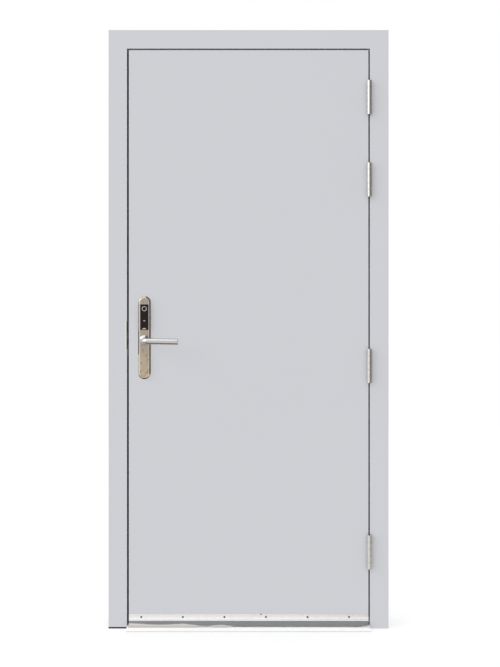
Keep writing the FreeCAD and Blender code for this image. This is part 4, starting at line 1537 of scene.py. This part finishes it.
    def tab(self, face: float) -> None:
        """Makes the arched tab at the foot of the reader.

        Args:
            face: The depth of the reader's face.
        """
        foot = self.reader_z - self.reader_height / 2 + self.tab_lift
        half = self.tab_width / 2
        bow = (half * half + self.tab_rise**2) / (2 * self.tab_rise)
        spread = math.asin(half / bow)
        turns = [spread * (step / 12 - 1) for step in range(25)]
        rings = []
        for inset, rise in ((0.0, -0.2), (0.0, 0.35), (0.25, 0.6), (0.6, 0.7)):
            reach, centre = bow - inset, foot + self.tab_rise - bow
            rings.append([
                point(self.x + reach * math.sin(turn), face - rise, centre + reach * math.cos(turn))
                for turn in turns
            ])
        hand_over(lofted("reader_tab", rings, TAB_METAL), "door_leaf", "satin_nickel")

    def key_cover(self) -> None:
        """Makes the flush cover over the key way, low on the outside plate."""
        face = self.outside_face
        rings = [
            stadium(self.x, self.cover_low, self.cover_high, self.cover_radius, face - rise, inset)
            for inset, rise in ((0.0, -0.3), (0.0, 0.1), (0.15, 0.25), (0.45, 0.3), (0.9, 0.3))
        ]
        hand_over(lofted("key_cover", rings, COVER_NICKEL), "door_leaf", "satin_nickel")


@dataclass
class Levers:
    """The two round levers on their spindle, each with a low cone, one bend and a soft-edged tip."""

    x: float = -389.0
    rose_z: float = 1082.5
    z: float = 1079.2
    outside_foot: float = -14.3
    inside_foot: float = 67.3
    radius: float = 12.0
    reach: float = 45.0
    bend: float = 21.0
    bend_steps: int = 16
    length: float = 129.5
    droop: float = 1.2
    rose: tuple[tuple[float, float], ...] = (
        (0.0, 0.0), (17.6, 0.0), (18.0, 0.3), (18.0, 0.9), (17.8, 1.5), (16.8, 2.4), (14.4, 4.2), (12.0, 6.0),
        (9.6, 7.8), (8.0, 8.8), (0.0, 8.8),
    )
    tip: tuple[tuple[float, float], ...] = ((0.9, 0.1), (0.4, 0.45), (0.1, 1.0), (0.0, 1.6), (0.0, 2.4))

    def build(self) -> None:
        """Makes both levers and finishes the spindle."""
        self.lever("outside_lever", self.outside_foot, -1)
        self.lever("inside_lever", self.inside_foot, 1)
        dress_nodes(PLAIN_STEEL, "spindle")

    def lever(self, node: str, foot: float, way: int) -> None:
        """Makes one lever.

        Args:
            node: The node that it replaces.
            foot: The depth where it starts.
            way: The sign of its reach along Y.
        """
        slope = math.radians(self.droop)
        along, out = Vector((math.cos(slope), 0, -math.sin(slope))), Vector((0, way, 0))
        upward = Vector((math.sin(slope), 0, math.cos(slope)))
        base = point(self.x, foot, self.z)
        neck = self.reach - self.bend
        stations = [(out * depth, out) for depth in (0.0, neck * 0.5, neck)]
        for step in range(1, self.bend_steps + 1):
            turn = math.pi / 2 * step / self.bend_steps
            middle = out * (neck + self.bend * math.sin(turn)) + along * self.bend * (1 - math.cos(turn))
            stations.append((middle, out * math.cos(turn) + along * math.sin(turn)))
        last = out * self.reach
        for place in (self.length * 0.4, self.length * 0.7, self.length - 1.6):
            stations.append((last + along * place, along))
        widths = [self.radius] * len(stations)
        for back, drawn in self.tip:
            stations.append((last + along * (self.length - back), along))
            widths.append(self.radius - drawn)
        mesh = bmesh.new()
        rings = [
            ring_round(base + middle * MM, heading, width * MM, ROUND_POINTS, upward)
            for (middle, heading), width in zip(stations, widths)
        ]
        loft(mesh, rings)
        turned(mesh, point(self.x, foot, self.rose_z), out, self.rose, ROUND_POINTS)
        grip = sheet_piece(node + "_grip", mesh, LEVER_STEEL)
        grip.visible_diffuse = False
        hand_over(grip, "lever_handle", "lever_steel", node)


@dataclass
class DoorBottom:
    """The door bottom sweep: its aluminium carrier, screws and bent rubber lip."""

    left: float = -448.0
    right: float = 449.0
    top: float = 54.8
    bead_top: float = 38.4
    bottom: float = 28.8
    base: float = 1.8
    bead: float = 4.4
    screw_z: float = 43.6
    screw_x: float = -401.8
    screw_step: float = 155.7
    screws: int = 6
    lip_top: float = 36.0
    lip_low: float = 12.3
    lip_half: float = 0.8
    lip_y: float = -1.8
    lip_lean: float = 11.0
    curl_reach: float = 11.0
    curl_start: float = 8.5
    curl_run: float = 5.0
    curl_drop: float = 0.3
    plain_steps: int = 6
    curl_steps: int = 8
    cut_start: float = 424.0
    slices: int = 300
    view_drop: float = 0.33
    band: tuple[tuple[float, float], ...] = (
        (-448.0, 23.0), (-420.0, 22.0), (-402.0, 20.6), (-377.0, 18.0), (-341.0, 17.0), (-305.0, 17.4),
        (-270.0, 20.0), (-244.0, 21.5), (-216.0, 17.0), (-180.0, 11.6), (-151.0, 11.0), (-126.0, 13.2),
        (-101.0, 15.6), (-72.0, 12.0), (-36.0, 8.0), (424.0, 8.0), (449.0, 24.0),
    )

    def build(self, screws: ScrewPattern) -> None:
        """Makes the carrier, the lip and the screws.

        Args:
            screws: The tree for the screws.
        """
        self.carrier()
        self.lip()
        spots = tuple(
            (self.screw_x + self.screw_step * index, -self.base + 0.1, self.screw_z)
            for index in range(self.screws)
        )
        ScrewSet(
            "sweep_screws", "door_leaf", "plain_steel", (0, -1, 0), spots, 8.0, 1.4, SCREW_STEEL, seed=5
        ).build(screws)

    def carrier(self) -> None:
        """Makes the carrier: a flat rail with a rounded bead along its foot."""
        outline = [(0.0, self.top), (-self.base + 0.7, self.top), (-self.base + 0.2, self.top - 0.25),
                   (-self.base, self.top - 0.8), (-self.base, self.bead_top + 0.8)]
        middle = (self.bead_top + self.bottom) / 2
        half = (self.bead_top - self.bottom) / 2
        for step in range(11):
            turn = math.pi * step / 10
            proud = (self.bead - self.base) * math.sin(turn) ** 0.45
            outline.append((-self.base - proud, middle + half * math.cos(turn)))
        outline.append((0.0, self.bottom))
        rings = [[point(x, y, z) for y, z in outline] for x in (self.left, self.right)]
        hand_over(lofted("sweep_rail", rings, SWEEP_METAL), "door_leaf", "sweep_aluminium", "sweep_carrier")

    def band_foot(self, x: float) -> float:
        """The height, seen from the front, where the lip starts to curl forward.

        Args:
            x: The place along the door.

        Returns:
            The height.
        """
        for (x0, z0), (x1, z1) in zip(self.band, self.band[1:]):
            if x0 <= x <= x1:
                share = (x - x0) / (x1 - x0)
                return z0 + (z1 - z0) * (3 - 2 * share) * share * share
        return self.band[-1][1]

    def leaning(self, share: float) -> tuple[float, float]:
        """A place on the lip's plain section, which leans forward towards its foot.

        Args:
            share: Nought at its top, one at its foot.

        Returns:
            Depth and height.
        """
        drop = (self.lip_top - self.lip_low) * share
        return self.lip_y - self.lip_lean * share * share, self.lip_top - drop

    def lip_line(self, x: float) -> list[tuple[float, float, float]]:
        """The middle line of the lip's section at one place; towards the hinges the lip is cut off aslant.

        Args:
            x: The place along the door.

        Returns:
            Depth, height and curl for each of its points, from its top down.
        """
        seen, share = self.band_foot(x), 1.0
        while share > 0.3:
            y, z = self.leaning(share)
            if z + self.view_drop * y >= seen:
                break
            share -= 0.004
        steps = self.plain_steps + (self.curl_steps if x > self.cut_start else 0)
        line = [(*self.leaning(share * step / steps), 0.0) for step in range(steps + 1)]
        if x > self.cut_start:
            return line
        y, z = self.leaning(share)
        curled = min(max(seen - self.curl_start, 0.0) / self.curl_run, 1.0)
        foot_y = self.lip_y - self.lip_lean - self.curl_drop - self.curl_reach * curled
        foot_z = self.lip_low - self.curl_drop
        for step in range(1, self.curl_steps + 1):
            part = step / self.curl_steps
            near, middle, far = (1 - part) ** 2, 2 * part * (1 - part), part * part
            line.append((
                near * y + middle * (y - 1.5) + far * foot_y,
                near * z + middle * (foot_z + 0.5) + far * foot_z,
                curled * min(part * 2.5, 1.0),
            ))
        return line

    def lip(self) -> None:
        """Makes the lip, which bends forward in waves towards the lock side."""
        mesh = bmesh.new()
        curl = mesh.verts.layers.float.new("curl")
        loops = []
        for index in range(self.slices + 1):
            x = self.left + (self.right - self.left) * index / self.slices
            line = self.lip_line(x)
            spots = []
            for place, (y, z, bent) in enumerate(line):
                before, after = line[max(place - 1, 0)], line[min(place + 1, len(line) - 1)]
                run = Vector((after[0] - before[0], after[1] - before[1])).normalized()
                for side in (self.lip_half, -self.lip_half):
                    spots.append((point(x, y + side * run.y, z - side * run.x), bent))
            loops.append(spots[0::2] + spots[1::2][::-1])
        rows = loft(mesh, [[spot for spot, _ in loop] for loop in loops])
        for row, loop in zip(rows, loops):
            for vert, (_, bent) in zip(row, loop):
                vert[curl] = bent
        lip = sheet_piece("sweep_lip_bent", mesh, LIP_RUBBER, 50.0)
        hand_over(lip, "door_leaf", "sweep_rubber", "sweep_lip")


# ---------------------------------------------------------------------- studio


@dataclass
class Studio:
    """The pale floor, the soft light and the camera at the photograph's view."""

    camera_x: float = 0.0056
    camera_distance: float = 3.6
    camera_z: float = 1.2
    view_height: float = 2.5003
    view_middle: float = 1.1058
    sensor: float = 24.0
    floor_half: float = 6.0
    floor_z: float = -0.0005
    floor_tone: float = 0.4
    floor_glow: float = 0.62
    lamp_energy: float = 0.55
    lamp_angle: float = 38.0
    lamp_aim: Colour = (0.80, 0.42, -0.42)

    def build(self) -> None:
        """Sets the view transform, floor, light and camera."""
        bpy.context.scene.view_settings.view_transform = "Standard"
        self.floor()
        self.surroundings()
        self.key_light()
        self.camera()

    def floor(self) -> None:
        """Lays a plain pale floor."""
        mesh = bmesh.new()
        place = Matrix.Translation((0, 0, self.floor_z))
        bmesh.ops.create_grid(mesh, x_segments=1, y_segments=1, size=self.floor_half, matrix=place)
        data = filed("floor", mesh)
        material = bpy.data.materials.new("pale_floor")
        material.use_nodes = True
        shader = material.node_tree.nodes["Principled BSDF"]
        for name, value in (
            ("Base Color", (self.floor_tone, self.floor_tone, self.floor_tone, 1.0)),
            ("Roughness", 0.9),
            ("Specular IOR Level", 0.0),
            ("Emission Color", (1.0, 1.0, 1.0, 1.0)),
            ("Emission Strength", self.floor_glow),
        ):
            shader.inputs[name].default_value = value
        data.materials.append(material)
        floor = placed("floor", data)
        floor.visible_glossy = False
        floor.visible_diffuse = False

    def surroundings(self) -> None:
        """A white room to the camera; to the door, light from the upper left, weaker right and below."""
        world = bpy.data.worlds.new("studio")
        world.use_nodes = True
        world.cycles.sampling_method = "NONE"
        bpy.context.scene.world = world
        tree = world.node_tree
        tree.nodes.clear()
        bench = Bench(tree)
        ray = bench.add("ShaderNodeTexCoord", out="Generated")
        parts = bench.add("ShaderNodeSeparateXYZ", {}, {"Vector": ray})
        across, up = parts, parts.out("Z")
        sky = bench.blend(across.ramp(-0.3, -0.85), (0.78, 0.77, 0.765), (1.05, 1.04, 1.03))
        overhead = up.ramp(0.25, 0.75) * across.ramp(0.45, 0.2)
        upper_left = across.ramp(-0.25, -0.55) * up.ramp(0.3, 0.55)
        lower_left = across.ramp(-0.12, -0.35) * up.ramp(-0.25, -0.45)
        right = across.ramp(0.07, 0.24) * up.ramp(-0.285, -0.235)
        for mask, colour in (
            (overhead, (1.28, 1.28, 1.30)),
            (upper_left, (1.42, 1.38, 1.31)),
            (up.ramp(-0.12, -0.28), (0.93, 0.935, 0.94)),
            (up.ramp(-0.5, -0.74), (0.56, 0.50, 0.43)),
            (lower_left, (0.40, 0.385, 0.37)),
            (right, (0.2, 0.195, 0.19)),
            (up.ramp(-0.80, -0.93), (0.11, 0.095, 0.08)),
        ):
            sky = bench.blend(mask, sky, colour)
        soft = bench.blend(across.ramp(0.9, -0.9), (0.50, 0.50, 0.505), (0.86, 0.857, 0.853))
        soft = bench.blend(up.ramp(-0.1, 0.8), soft, (1.0, 1.0, 1.0))
        soft = bench.blend(abs(parts.out("Y")).ramp(0.35, 0.95), soft, (1.36, 1.36, 1.365))
        path = bench.add("ShaderNodeLightPath", out="Is Camera Ray")
        light = bench.blend(path.out("Is Glossy Ray"), soft, sky)
        light = bench.blend(path, light, (1.0, 1.0, 1.0))
        glow = bench.add("ShaderNodeBackground", {}, {"Color": light, "Strength": 1.0})
        bench.end("ShaderNodeOutputWorld", {"Surface": glow})

    def key_light(self) -> None:
        """A wide soft lamp at the upper left."""
        lamp = bpy.data.lights.new("key", "SUN")
        lamp.energy = self.lamp_energy
        lamp.angle = math.radians(self.lamp_angle)
        placed("key", lamp).rotation_euler = Vector(self.lamp_aim).to_track_quat("-Z", "Y").to_euler()

    def camera(self) -> None:
        """Sets the level camera in front of the door."""
        data = bpy.data.cameras.new("view")
        data.sensor_fit = "VERTICAL"
        data.sensor_height = self.sensor
        data.lens = self.sensor * self.camera_distance / self.view_height
        data.shift_y = (self.view_middle - self.camera_z) / self.view_height
        camera = placed("view", data)
        camera.location = (self.camera_x, -self.camera_distance, self.camera_z)
        camera.rotation_euler = (math.pi / 2, 0.0, 0.0)
        bpy.context.scene.camera = camera


def main() -> None:
    """Builds every sub-assembly in order."""
    logging.basicConfig(level=logging.INFO, format="%(message)s")
    screws = ScrewPattern()
    DoorFrame().build(screws)
    Strike().build(screws)
    Hinges().build(screws)
    Leaf().build()
    LockSet().build(screws)
    Levers().build()
    DoorBottom().build(screws)
    Studio().build()


if __name__ == "__main__":
    main()
